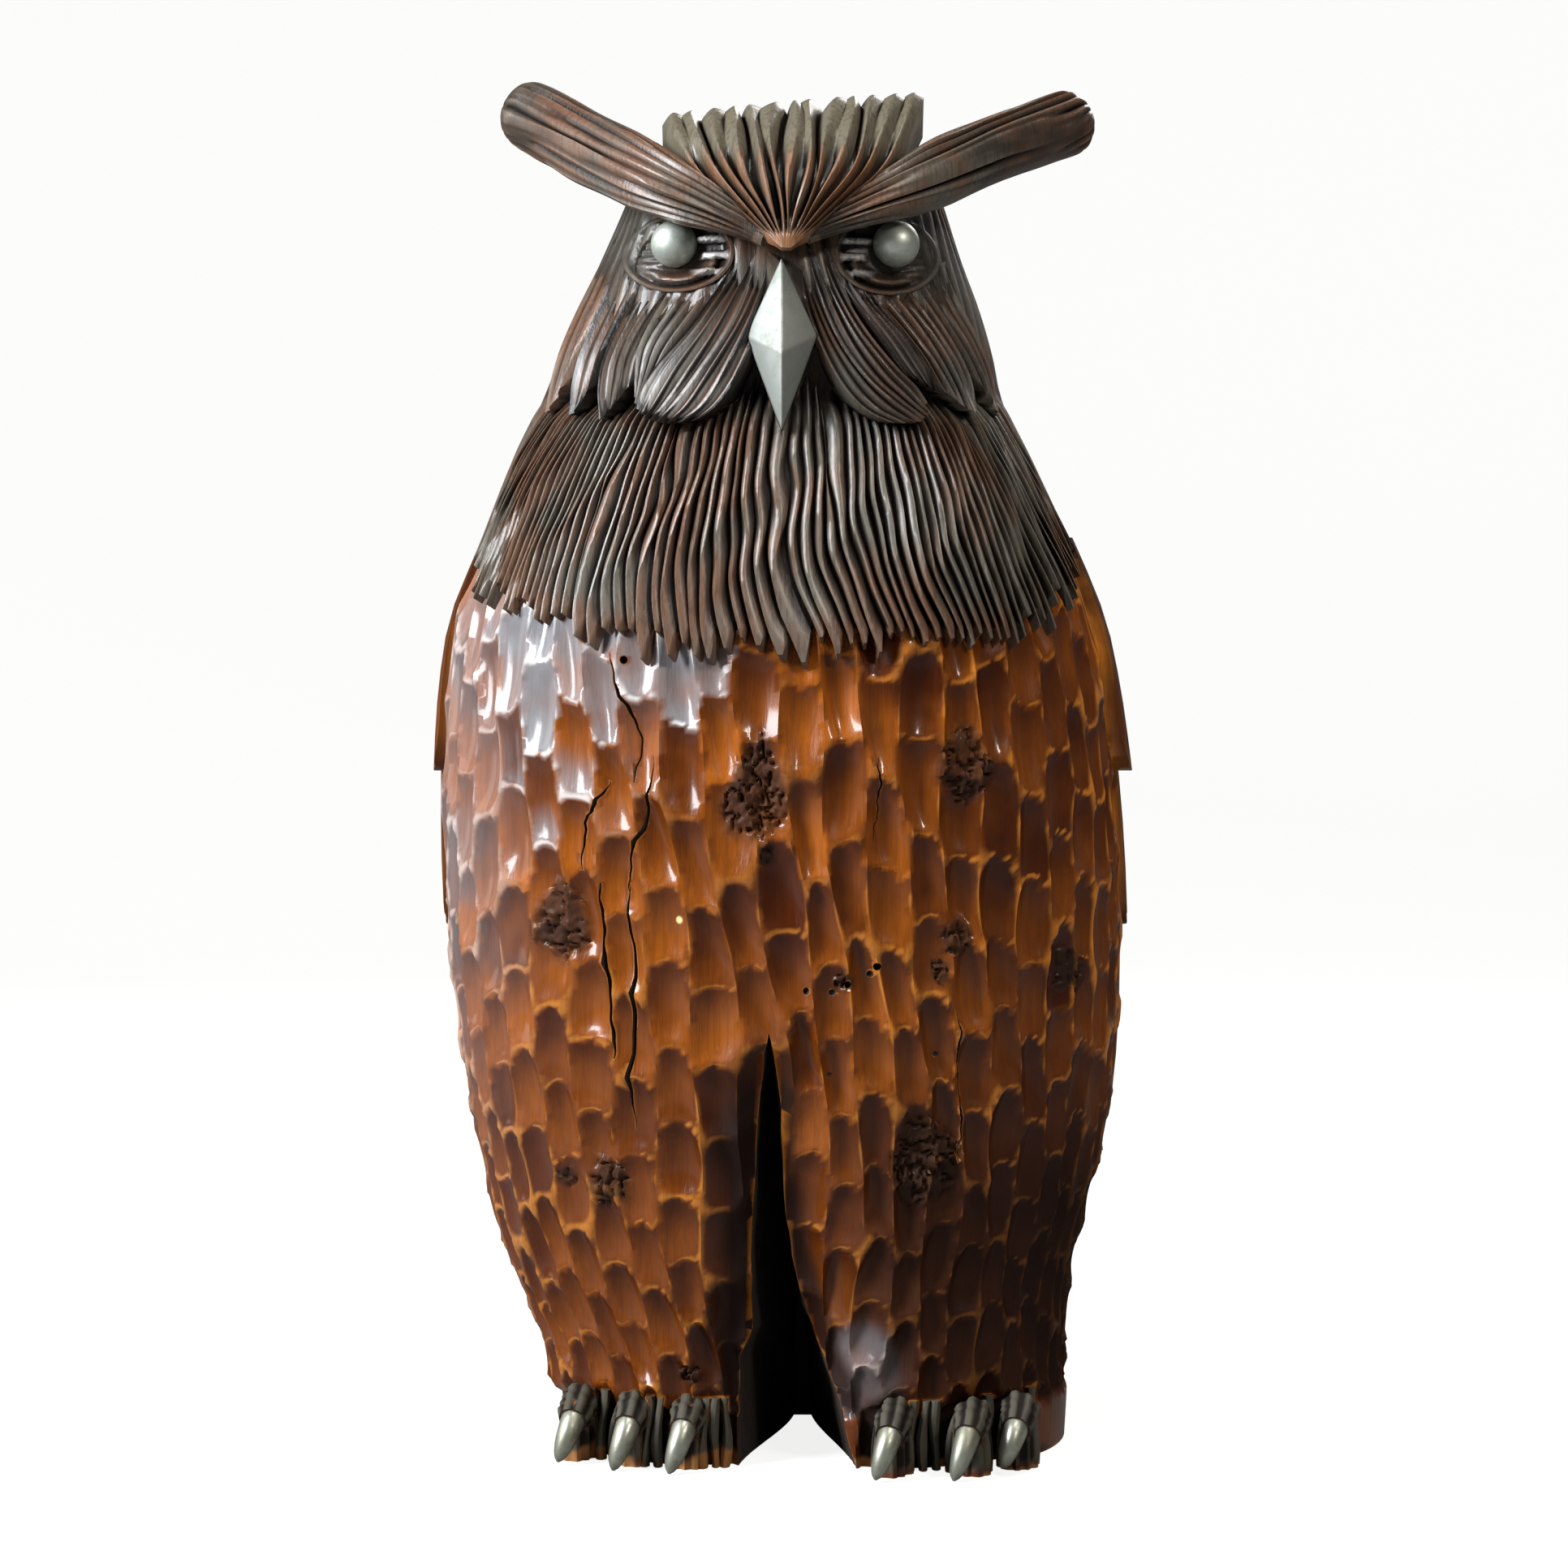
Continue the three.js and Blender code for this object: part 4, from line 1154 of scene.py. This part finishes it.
def place_claw(toe, column, row, grow, columns, rows, reach=1.0):
    t = reach * row / rows
    lean = 8
    start = np.array([toe["x"] + lean * 0.5, toe["front"] + 14, 23.5])
    bend = np.array([toe["x"] + lean * 0.3, toe["front"] - 7, 22.5])
    end = np.array([toe["x"] - lean * 0.6, toe["front"] - 6, max(0.5, toe["tip"] - 1.2)])
    s = t[:, None]
    centre = (1 - s) ** 2 * start + 2 * s * (1 - s) * bend + s ** 2 * end
    along = unit(2 * (1 - s) * (bend - start) + 2 * s * (end - bend))
    across = unit(np.array([1.0, 0, 0]) - along * along[:, :1])
    up = np.cross(along, across)
    radius = 6.7 * np.sqrt(np.maximum(0.02, 1 - t ** 7)) * mix(1, 0.7, t) + grow
    turn = 2 * np.pi * column / columns
    centre = centre + along * np.where(row == 0, -1, np.where(row == rows, 1, 0))[:, None] * np.max(grow)
    points = centre + across * (np.cos(turn) * radius * 0.92)[:, None]
    return points + up * (np.sin(turn) * radius)[:, None], {}


def place_collar(toe, column, row):
    turn = 2 * np.pi * column / COLLAR_COLUMNS
    cuts = np.abs(np.sin(turn * 3.5 + toe["x"])) ** 4
    thick = 2.2 - 1.4 * cuts + 0.6 * np.sin(row * 1.7 + toe["x"] + 2 * turn)
    thick = np.where(row == COLLAR_ROWS, 0.8, thick)
    points, _ = place_claw(toe, column, row, thick, COLLAR_COLUMNS, COLLAR_ROWS, 0.37)
    # Painted shade in the collar's cuts.
    dark = 0.2 + 0.75 * cuts
    return points, {"stain": 1 + 0 * turn, "inward": 3 + 0 * turn, "run": dark}


def place_rib(middle, column, row):
    turn, height = 2 * np.pi * column / 10, mix(-6, 30, row / 10)
    skin = log_point(angle_of(np.float64(middle), 22.0), 22.0)
    lean = 0.9 * np.sin(height / 7 + middle) + 0.03 * (height - 15)
    wide = 2.1 + 0.5 * np.sin(height / 5 + 2 * middle)
    x = skin[0] + lean + wide * np.cos(turn)
    y = skin[1] + 4.5 + 4.5 * np.sin(turn) + 1.2 * np.sin(height / 9 + middle)
    # Painted shade on the back side of each rib.
    dark = np.clip(np.sin(turn), 0, 1)
    return np.stack([x, y, height], axis=-1), {"stain": 1 + 0 * x, "inward": 3 + 0 * x, "run": dark}


for toe in TOES:
    carve(owl, roll_sleeve("toe", TOE_COLUMNS, TOE_ROWS, lambda column, row, toe=toe: place_toe(
        toe, column, row), "varnished_wood"))
    carve(owl, roll_sleeve("collar", COLLAR_COLUMNS, COLLAR_ROWS, lambda column, row, toe=toe: (
        place_collar(toe, column, row)), "varnished_wood"))
for rib in RIBS:
    carve(owl, roll_sleeve("rib", 10, 10, lambda column, row, rib=rib: place_rib(
        rib, column, row), "varnished_wood"))
ground = bmesh.new()
bmesh.ops.create_cube(ground, size=1)
bmesh.ops.scale(ground, verts=ground.verts, vec=(0.5, 0.5, 0.04))
bmesh.ops.translate(ground, verts=ground.verts, vec=(0, 0, -0.02))
carve(owl, finish_form(ground, "ground", "shaded_torn_wood", None), "DIFFERENCE")
print("faces with legs:", len(owl.data.polygons))

# %% [markdown]
# ## Cracks
# The log has dried and checked. Long thin cracks follow the grain on the left of the chest
# and one runs down the right leg. Each is a thin blade driven into the surface.

# %% Open the cracks
CRACKS = [
    {"line": [(745, 800), (760, 850), (780, 900), (778, 960)], "wide": 4.4},
    {"line": [(736, 1085), (739, 1150), (748, 1230), (754, 1302)], "wide": 5.2},
    {"line": [(766, 1085), (771, 1150), (777, 1222), (772, 1314), (774, 1391)], "wide": 5.6},
    {"line": [(745, 959), (728, 990), (714, 1014), (710, 1069)], "wide": 4.6},
    {"line": [(800, 930), (792, 1000), (770, 1060), (768, 1100)], "wide": 4.2},
    {"line": [(1185, 1239), (1187, 1300), (1190, 1370), (1188, 1432)], "wide": 2.6},
    {"line": [(1084, 930), (1088, 985), (1080, 1040)], "wide": 2.4},
]


def drive_blade(crack):
    spots = np.array([photo_spot(*pixel) for pixel in crack["line"]])
    keys = np.linspace(0, 1, len(spots))
    table = np.column_stack([keys, spots])

    def place(column, row, is_front):
        t = row / 30
        x, z = smooth_rows(table, t)
        x = x + 0.5 * np.sin(t * 19 + spots[0, 0]) + 0.25 * np.sin(t * 47)
        wide = crack["wide"] * 0.72 * np.sin(np.pi * np.clip(t, 0.02, 0.98)) ** 0.6
        side = (column - 0.5) * wide * np.where(is_front, 1.0, 0.25)
        points = log_point(angle_of(x + side, z), z, np.where(is_front, 4.0, -8.0))
        # Painted shade: the shade mark darkens the wood along each crack.
        return points, {"inward": 3 + 0 * x, "shade": 1 + 0 * x}

    return extrude_plate("blade", 1, 30, place, "shaded_torn_wood")


for crack in CRACKS:
    carve(owl, drive_blade(crack), "DIFFERENCE")
WORM_HOLES = [(994, 1219), (1027, 1221), (1047, 1211), (1074, 1198), (1084, 1188), (1025, 1323),
              (1158, 1297), (765, 809)]
for number, pixel in enumerate(WORM_HOLES):
    x, z = photo_spot(*pixel)
    centre = log_point(angle_of(x, z), z, -2.5)
    hole = round_form("worm_hole", centre, (1.6 + 0.7 * chance(number), 4, 1.8), 0, "shaded_torn_wood", 12)
    carve(owl, hole, "DIFFERENCE")
print("faces with cracks:", len(owl.data.polygons))

# %% [markdown]
# ## Metal pieces
# The eyes are plain cast balls. The beak is a long kite with a sharp keel and worn corners.
# The claws are short curved pegs, thick where they leave the wood. Each one replaces the
# faceted solid in its place, and each sits in a socket with a hair of room round it.

# %% Cast the eyes, the beak and the claws
FIT_GAP = 0.35
BEAK = {"x": -1, "top": 515, "widest": 482, "tip": 441.5, "half": 15, "reach": 18, "face": -94,
        "back": -80}


def metal_form(form, name):
    bmesh.ops.recalc_face_normals(form, faces=form.faces[:])
    mesh = bpy.data.meshes.new(name)
    form.to_mesh(mesh)
    form.free()
    piece = bpy.data.objects.new(name, mesh)
    bpy.context.scene.collection.objects.link(piece)
    return piece


def beak_form(grow):
    kite = bmesh.new()
    b = BEAK
    outline = [(0, b["top"] + 2 * grow), (b["half"] + grow, b["widest"]),
               (0, b["tip"] - 2 * grow), (-b["half"] - grow, b["widest"])]
    rim = [kite.verts.new((b["x"] + x, b["back"] + grow, z)) for x, z in outline]
    base = kite.faces.new(rim)
    pushed = bmesh.ops.extrude_face_region(kite, geom=[base])
    front = [item for item in pushed["geom"] if isinstance(item, bmesh.types.BMVert)]
    for vertex in front:
        lean = -12 if vertex.co.z < b["widest"] - 5 else 0
        vertex.co.y = b["face"] + lean - grow
    face = [item for item in pushed["geom"] if isinstance(item, bmesh.types.BMFace)]
    poked = bmesh.ops.poke(kite, faces=face)
    poked["verts"][0].co = (b["x"], b["face"] - b["reach"] - grow, b["widest"] - 8)
    bmesh.ops.scale(kite, verts=kite.verts, vec=(MM, MM, MM))
    bmesh.ops.recalc_face_normals(kite, faces=kite.faces[:])
    return kite


beak_metal = beak_form(0)
keel = [edge for edge in beak_metal.edges if edge.calc_face_angle(0) > 0.2]
bmesh.ops.bevel(beak_metal, geom=keel, offset=0.0009, segments=3, profile=0.5,
                affect="EDGES", material=-1)
beak = metal_form(beak_metal, "cast_beak")
carve(owl, finish_form(beak_form(FIT_GAP), "beak_socket", "shaded_torn_wood", None), "DIFFERENCE")


metal_pieces = [(beak, "beak")]
for toe in TOES:
    socket = roll_sleeve("claw_socket", 20, 12, lambda column, row, toe=toe: place_claw(
        toe, column, row, FIT_GAP, 20, 12), "shaded_torn_wood")
    carve(owl, socket, "DIFFERENCE")
    claw = roll_sleeve("cast_" + toe["name"], 28, 30, lambda column, row, toe=toe: place_claw(
        toe, column, row, 0, 28, 30))
    claw.data.materials.clear()
    metal_pieces.append((claw, toe["name"]))
for eye in EYES:
    centre, socket = (eye["x"], eye["y"], eye["z"]), EYE_RADIUS + FIT_GAP
    carve(owl, round_form("eye_socket", centre, (socket,) * 3, 0, "shaded_torn_wood"), "DIFFERENCE")
    ball = round_form("cast_" + eye["name"], centre, (EYE_RADIUS,) * 3, segments=64)
    ball.data.materials.clear()
    metal_pieces.append((ball, eye["name"]))
print("faces with sockets for the metal:", len(owl.data.polygons))

# %% [markdown]
# ## Reading the carved surface
# Stain gathers in the cuts and rubs off the ridges, and the cuts are also painted darker as
# shade. To paint that, every point is compared with a smoothed copy of the wood. Points that
# stand above it are ridges, and points below it are cuts. A fine and a wide comparison are
# stored as marks on the mesh.

# %% Measure ridges and cuts
def edge_average(values, first, second, count):
    total = np.zeros_like(values)
    for k in range(values.shape[1]):
        total[:, k] = (np.bincount(first, values[second, k], len(values))
                       + np.bincount(second, values[first, k], len(values)))
    return total / count[:, None]


def measure_relief(mesh, rounds):
    points = np.empty(len(mesh.vertices) * 3)
    mesh.vertices.foreach_get("co", points)
    points = points.reshape(-1, 3)
    edges = np.empty(len(mesh.edges) * 2, dtype=int)
    mesh.edges.foreach_get("vertices", edges)
    first, second = edges.reshape(-1, 2).T
    count = np.bincount(first, minlength=len(points)) + np.bincount(second, minlength=len(points))
    normals = np.empty(len(points) * 3)
    mesh.vertex_normals.foreach_get("vector", normals)
    smooth = points.copy()
    for _ in range(rounds):
        smooth = mix(smooth, edge_average(smooth, first, second, np.maximum(count, 1)), 0.7)
    return np.einsum("ij,ij->i", points - smooth, normals.reshape(-1, 3)) / MM


for mark_name, rounds in (("ridge_fine", 3), ("ridge_wide", 16)):
    relief = measure_relief(owl.data, rounds)
    mark = owl.data.attributes.new(mark_name, "FLOAT", "POINT")
    mark.data.foreach_set("value", np.clip(relief, -3, 3))
    print(mark_name, "from", round(float(relief.min()), 2), "to", round(float(relief.max()), 2))

owl.data.polygons.foreach_set("use_smooth", [True] * len(owl.data.polygons))
owl.data.set_sharp_from_angle(angle=math.radians(50))
owl.name = "carved_owl"
triangles = sum(len(face.vertices) - 2 for face in owl.data.polygons)
print("triangles in the wood:", triangles)

# %% [markdown]
# ## Shared effects
# Two effects are used by more than one wood. **Grain** draws long dark fibres that run up
# the log. **Rubbed edges** turns the stored ridge marks into two masks, one for the ridges
# and one for the cuts.

# %% Build the grain and the rubbed edges
def new_group(name, inputs, outputs):
    group = bpy.data.node_groups.new(name, "ShaderNodeTree")
    for label, default in inputs:
        socket = group.interface.new_socket(label, in_out="INPUT", socket_type="NodeSocketFloat")
        socket.default_value = default
    for label in outputs:
        group.interface.new_socket(label, in_out="OUTPUT", socket_type="NodeSocketFloat")
    return group, group.nodes.new("NodeGroupInput"), group.nodes.new("NodeGroupOutput")


def add_node(tree, kind, settings=None, **values):
    node = tree.nodes.new(kind)
    for key, value in (settings or {}).items():
        setattr(node, key, value)
    for key, value in values.items():
        node.inputs[key.replace("_", " ")].default_value = value
    return node


def add_math(tree, operation, first, second=None):
    node = add_node(tree, "ShaderNodeMath", {"operation": operation})
    for socket, value in zip(node.inputs, (first, second)):
        if isinstance(value, (int, float)):
            socket.default_value = value
        elif value is not None:
            tree.links.new(value, socket)
    return node.outputs[0]


def add_range(tree, value, low, high, to_low=0.0, to_high=1.0):
    node = add_node(tree, "ShaderNodeMapRange", {"interpolation_type": "SMOOTHSTEP"})
    tree.links.new(value, node.inputs["Value"])
    for label, number in zip(("From Min", "From Max", "To Min", "To Max"),
                             (low, high, to_low, to_high)):
        node.inputs[label].default_value = number
    return node.outputs[0]


def read_mark(tree, name):
    return add_node(tree, "ShaderNodeAttribute", {"attribute_name": name}).outputs["Fac"]


grain, grain_in, grain_out = new_group(
    "wood_grain", [("Fibre Size", 900.0), ("Stretch", 0.05)], ["Fibre", "Cloud"])
spot = add_node(grain, "ShaderNodeTexCoord").outputs["Object"]
squeeze = add_node(grain, "ShaderNodeCombineXYZ", X=1.0, Y=1.0)
grain.links.new(grain_in.outputs["Stretch"], squeeze.inputs["Z"])
stretched = add_node(grain, "ShaderNodeVectorMath", {"operation": "MULTIPLY"})
grain.links.new(spot, stretched.inputs[0])
grain.links.new(squeeze.outputs[0], stretched.inputs[1])
fibre = add_node(grain, "ShaderNodeTexNoise", Detail=4.0, Roughness=0.6, Distortion=0.4)
grain.links.new(stretched.outputs[0], fibre.inputs["Vector"])
grain.links.new(grain_in.outputs["Fibre Size"], fibre.inputs["Scale"])
cloud = add_node(grain, "ShaderNodeTexNoise", Scale=22.0, Detail=3.0, Roughness=0.55)
grain.links.new(spot, cloud.inputs["Vector"])
grain.links.new(fibre.outputs["Fac"], grain_out.inputs["Fibre"])
grain.links.new(cloud.outputs["Fac"], grain_out.inputs["Cloud"])

rubbed, rubbed_in, rubbed_out = new_group("rubbed_edges", [("Reach", 0.5)], ["Ridge", "Cut"])
fine_mark, wide_mark = read_mark(rubbed, "ridge_fine"), read_mark(rubbed, "ridge_wide")
both = add_math(rubbed, "ADD", fine_mark, add_math(rubbed, "MULTIPLY", wide_mark, 0.45))
scaled = add_math(rubbed, "DIVIDE", both, rubbed_in.outputs["Reach"])
rubbed.links.new(add_range(rubbed, scaled, 0.15, 1.0), rubbed_out.inputs["Ridge"])
rubbed.links.new(add_range(rubbed, scaled, -0.1, -1.0), rubbed_out.inputs["Cut"])
print("shared effects:", grain.name, rubbed.name)

# %% [markdown]
# ## Finishes of the wood
# The flanks have a glossy red-brown varnish. Their ridges are rubbed to honey colour, and
# the cuts hold a darker stain with painted shade. Painted shade also darkens the tops of the
# gouge marks, the legs and the right side, and painted sheen greys the upper left. The head
# and the bib are stained almost black, with dull red where hands have rubbed the locks and
# grey painted sheen on the face feathers. Torn wood in the split and cracks is painted nearly
# black as shade, and is not glossy.

# %% Mix the finishes
def use_group(tree, group, **values):
    node = tree.nodes.new("ShaderNodeGroup")
    node.node_tree = group
    for key, value in values.items():
        node.inputs[key.replace("_", " ")].default_value = value
    return node


def blend_colors(tree, share, first, second):
    node = add_node(tree, "ShaderNodeMix", {"data_type": "RGBA"})
    tree.links.new(share, node.inputs["Factor"])
    for socket, value in ((node.inputs["A"], first), (node.inputs["B"], second)):
        if isinstance(value, tuple):
            socket.default_value = (*value, 1)
        else:
            tree.links.new(value, socket)
    return node.outputs["Result"]


def color_sockets(node):
    return [socket for socket in node.inputs if socket.type == "RGBA"]


def blend(tree, share, first, second):
    node = add_node(tree, "ShaderNodeMix", {"data_type": "RGBA"})
    tree.links.new(share, node.inputs[0])
    for socket, value in zip(color_sockets(node), (first, second)):
        if isinstance(value, tuple):
            socket.default_value = (*value, 1)
        else:
            tree.links.new(value, socket)
    return [socket for socket in node.outputs if socket.type == "RGBA"][0]


def start_material(material):
    material.use_nodes = True
    tree = material.node_tree
    return tree, tree.nodes["Principled BSDF"]


def add_bump(tree, surface, height, strength, distance):
    bump = add_node(tree, "ShaderNodeBump", Strength=strength, Distance=distance)
    tree.links.new(height, bump.inputs["Height"])
    tree.links.new(bump.outputs["Normal"], surface.inputs["Normal"])


tree, surface = start_material(WOOD_MATERIALS[0])
fibres = use_group(tree, grain, Fibre_Size=520.0, Stretch=0.07)
edges = use_group(tree, rubbed, Reach=0.6)
patch = add_range(tree, fibres.outputs["Cloud"], 0.35, 0.65)
tone = add_math(tree, "ADD", add_math(tree, "MULTIPLY", read_mark(tree, "tone"), 0.6),
                add_math(tree, "MULTIPLY", patch, 0.4))
height = add_node(tree, "ShaderNodeSeparateXYZ")
tree.links.new(add_node(tree, "ShaderNodeTexCoord").outputs["Object"], height.inputs[0])
# Painted shade: the tone is darker towards the bottom of the log.
tone = add_math(tree, "MULTIPLY", tone, add_range(tree, height.outputs["Z"], 0.10, 0.25, 0.5, 1.0))
base = blend(tree, tone, (0.052, 0.0085, 0.0008), (0.36, 0.094, 0.0065))
# Painted shade: the top of each gouge mark is darker, standing for the shade under its steep wall, together with
# stain pooled there.
upper = add_range(tree, read_mark(tree, "run"), -0.3, 0.9)
base = blend(tree, add_math(tree, "MULTIPLY", upper, 0.82), base, (0.032, 0.004, 0.0008))
spread = add_math(tree, "ADD", read_mark(tree, "inward"), add_math(tree, "MULTIPLY", patch, 0.6))
deep = add_range(tree, spread, 0.15, 1.05)
chest = add_range(tree, height.outputs["Z"], 0.17, 0.30)
honey = blend(tree, chest, (0.36, 0.125, 0.017), (0.23, 0.072, 0.013))
# Painted shade and highlight: on the right side the gouge marks are darker and their ridges brighter honey,
# standing for the light falling from the left.
right_side = add_range(tree, height.outputs["X"], 0.0, 0.12)
honey = blend(tree, right_side, honey, (0.58, 0.20, 0.026))
base = blend(tree, add_math(tree, "MULTIPLY", right_side, 0.3), base, (0.03, 0.004, 0.0008))
base = blend(tree, deep, honey, base)
streak = add_range(tree, fibres.outputs["Fibre"], 0.42, 0.62)
base = blend(tree, add_math(tree, "MULTIPLY", streak, 0.22), base, (0.06, 0.015, 0.006))
# Painted sheen: a grey film with pale rims over the gouge marks where the sheen mark is set.
sheen_film = blend(tree, deep, (0.66, 0.66, 0.66), (0.20, 0.198, 0.208))
sheen_patches = add_range(tree, fibres.outputs["Cloud"], 0.4, 0.62, 0.97, 0.6)
base = blend(tree, add_math(tree, "MULTIPLY", read_mark(tree, "bloom"), sheen_patches), base, sheen_film)
# Painted shade: near black wherever the shade mark is set.
base = blend(tree, read_mark(tree, "shade"), base, (0.010, 0.003, 0.0015))
# On the toes the run mark paints the grooves and the back of the ribs darker, as shade.
rib = blend(tree, add_range(tree, read_mark(tree, "run"), 0.15, 0.8), (0.075, 0.068, 0.052), (0.008, 0.006, 0.005))
base = blend(tree, read_mark(tree, "stain"), base, rib)
darkened = add_range(tree, read_mark(tree, "stain"), 0, 1, 0.12, 0.9)
# Stain and painted shade darken the cuts, strongly on the toes.
base = blend(tree, add_math(tree, "MULTIPLY", edges.outputs["Cut"], darkened), base, (0.012, 0.004, 0.002))
base = blend(tree, add_math(tree, "MULTIPLY", read_mark(tree, "knot"), 0.8), base, (0.022, 0.012, 0.008))
low = add_math(tree, "ADD", height.outputs["Z"], add_math(tree, "MULTIPLY", fibres.outputs["Cloud"], 0.035))
base = blend(tree, add_range(tree, low, 0.0215, 0.0185), base, (0.30, 0.135, 0.045))
# A small pale gold speck on the chest.
gold_speck_x, gold_speck_z = photo_spot(832, 1131)
gold_speck = add_node(tree, "ShaderNodeVectorMath", {"operation": "DISTANCE"})
tree.links.new(add_node(tree, "ShaderNodeTexCoord").outputs["Object"], gold_speck.inputs[0])
gold_speck.inputs[1].default_value = log_point(angle_of(gold_speck_x, gold_speck_z), gold_speck_z, -3.0) * MM
base = blend(tree, add_range(tree, gold_speck.outputs["Value"], 0.0024, 0.0015), base, (0.75, 0.56, 0.24))
tree.links.new(base, surface.inputs["Base Color"])
# The coat is thinner and the surface rougher on knots, stains and painted shade.
dull_mask = add_math(tree, "ADD", read_mark(tree, "knot"), read_mark(tree, "stain"))
dull_mask = add_math(tree, "ADD", dull_mask, read_mark(tree, "shade"))
tree.links.new(add_range(tree, dull_mask, 0, 1, 0.4, 0.04), surface.inputs["Coat Weight"])
gloss = add_math(tree, "ADD", add_math(tree, "MULTIPLY", fibres.outputs["Cloud"], 0.25), 0.2)
gloss = add_math(tree, "ADD", gloss, add_math(tree, "MULTIPLY", dull_mask, 0.35))
tree.links.new(gloss, surface.inputs["Roughness"])
surface.inputs["Specular IOR Level"].default_value = 0.12
surface.inputs["Coat Roughness"].default_value = 0.12
add_bump(tree, surface, fibres.outputs["Fibre"], 0.35, 0.0008)

tree, surface = start_material(WOOD_MATERIALS[1])
fibres = use_group(tree, grain, Fibre_Size=620.0, Stretch=0.09)
edges = use_group(tree, rubbed, Reach=0.9)
tone = add_range(tree, fibres.outputs["Cloud"], 0.4, 0.62)
base = blend(tree, tone, (0.048, 0.024, 0.014), (0.036, 0.031, 0.024))
warm = blend(tree, tone, (0.135, 0.070, 0.042), (0.110, 0.098, 0.078))
base = blend(tree, edges.outputs["Ridge"], base, warm)
# Painted light: the folded top of the forelock is lighter, as lit from above.
base = blend(tree, read_mark(tree, "stain"), base, (0.125, 0.108, 0.075))
# Painted sheen and highlight: pale grey on the face feathers and on the ridges beside the eyes.
base = blend(tree, read_mark(tree, "bloom"), base, (0.55, 0.53, 0.51))
base = blend(tree, read_mark(tree, "tone"), base, (0.22, 0.10, 0.045))
# Stain and painted shade: the cuts are near black.
base = blend(tree, edges.outputs["Cut"], base, (0.005, 0.003, 0.002))
# Painted shade under the beak and on the right-hand face feather.
base = blend(tree, read_mark(tree, "shade"), base, (0.004, 0.003, 0.002))
streak = add_range(tree, fibres.outputs["Fibre"], 0.45, 0.65)
base = blend(tree, add_math(tree, "MULTIPLY", streak, 0.4), base, (0.02, 0.012, 0.008))
tree.links.new(base, surface.inputs["Base Color"])
gloss = add_math(tree, "ADD", add_math(tree, "MULTIPLY", fibres.outputs["Cloud"], 0.3), 0.24)
tree.links.new(gloss, surface.inputs["Roughness"])
surface.inputs["Specular IOR Level"].default_value = 0.35
surface.inputs["Coat Weight"].default_value = 0.2
surface.inputs["Coat Roughness"].default_value = 0.22
add_bump(tree, surface, fibres.outputs["Fibre"], 0.4, 0.0008)

# Painted shade: the split, the cracks, the worm holes and the hollow under the chin are near black, with faint
# grain streaks.
tree, surface = start_material(WOOD_MATERIALS[2])
fibres = use_group(tree, grain, Fibre_Size=420.0, Stretch=0.12)
base = blend(tree, fibres.outputs["Fibre"], (0.003, 0.002, 0.0015), (0.035, 0.018, 0.011))
tree.links.new(base, surface.inputs["Base Color"])
surface.inputs["Roughness"].default_value = 0.75
add_bump(tree, surface, fibres.outputs["Fibre"], 0.6, 0.0015)
print("finishes:", [material.name for material in WOOD_MATERIALS])

# %% [markdown]
# ## Finish of the metal
# The metal is a dull silver-grey casting, slightly green, rubbed smooth where it stands
# proud and clouded elsewhere.

# %% Finish the metal
def mix_pewter(name, bright, dull, smooth, rough):
    pewter = bpy.data.materials.new(name)
    tree, surface = start_material(pewter)
    spot = add_node(tree, "ShaderNodeTexCoord").outputs["Object"]
    clouds = add_node(tree, "ShaderNodeTexNoise", Scale=130.0, Detail=5.0, Roughness=0.6)
    tree.links.new(spot, clouds.inputs["Vector"])
    cloudy = add_range(tree, clouds.outputs["Fac"], 0.35, 0.68)
    tree.links.new(blend(tree, cloudy, bright, dull), surface.inputs["Base Color"])
    tree.links.new(add_range(tree, cloudy, 0, 1, smooth, rough), surface.inputs["Roughness"])
    surface.inputs["Metallic"].default_value = 0.8
    grit = add_node(tree, "ShaderNodeTexNoise", Scale=900.0, Detail=3.0, Roughness=0.5)
    tree.links.new(spot, grit.inputs["Vector"])
    add_bump(tree, surface, grit.outputs["Fac"], 0.12, 0.0004)
    return pewter


eye_pewter = mix_pewter("satin_pewter", (0.56, 0.60, 0.545), (0.38, 0.41, 0.36), 0.46, 0.6)
beak_pewter = mix_pewter("beak_pewter", (0.34, 0.36, 0.34), (0.27, 0.285, 0.255), 0.55, 0.68)
claw_pewter = mix_pewter("claw_pewter", (0.38, 0.39, 0.33), (0.24, 0.24, 0.18), 0.35, 0.5)
for piece, node in metal_pieces:
    metal = {"eye": eye_pewter, "bea": beak_pewter}.get(node[:3], claw_pewter)
    piece.data.materials.append(metal)
    piece.data.polygons.foreach_set("use_smooth", [True] * len(piece.data.polygons))
    piece.data.set_sharp_from_angle(angle=math.radians(35))
    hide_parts(node)
    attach(piece, "root")
print("metal pieces:", len(metal_pieces))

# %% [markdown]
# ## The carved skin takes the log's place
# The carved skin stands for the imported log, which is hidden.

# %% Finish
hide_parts("carved_body")
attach(owl, "root")
bpy.context.view_layer.update()
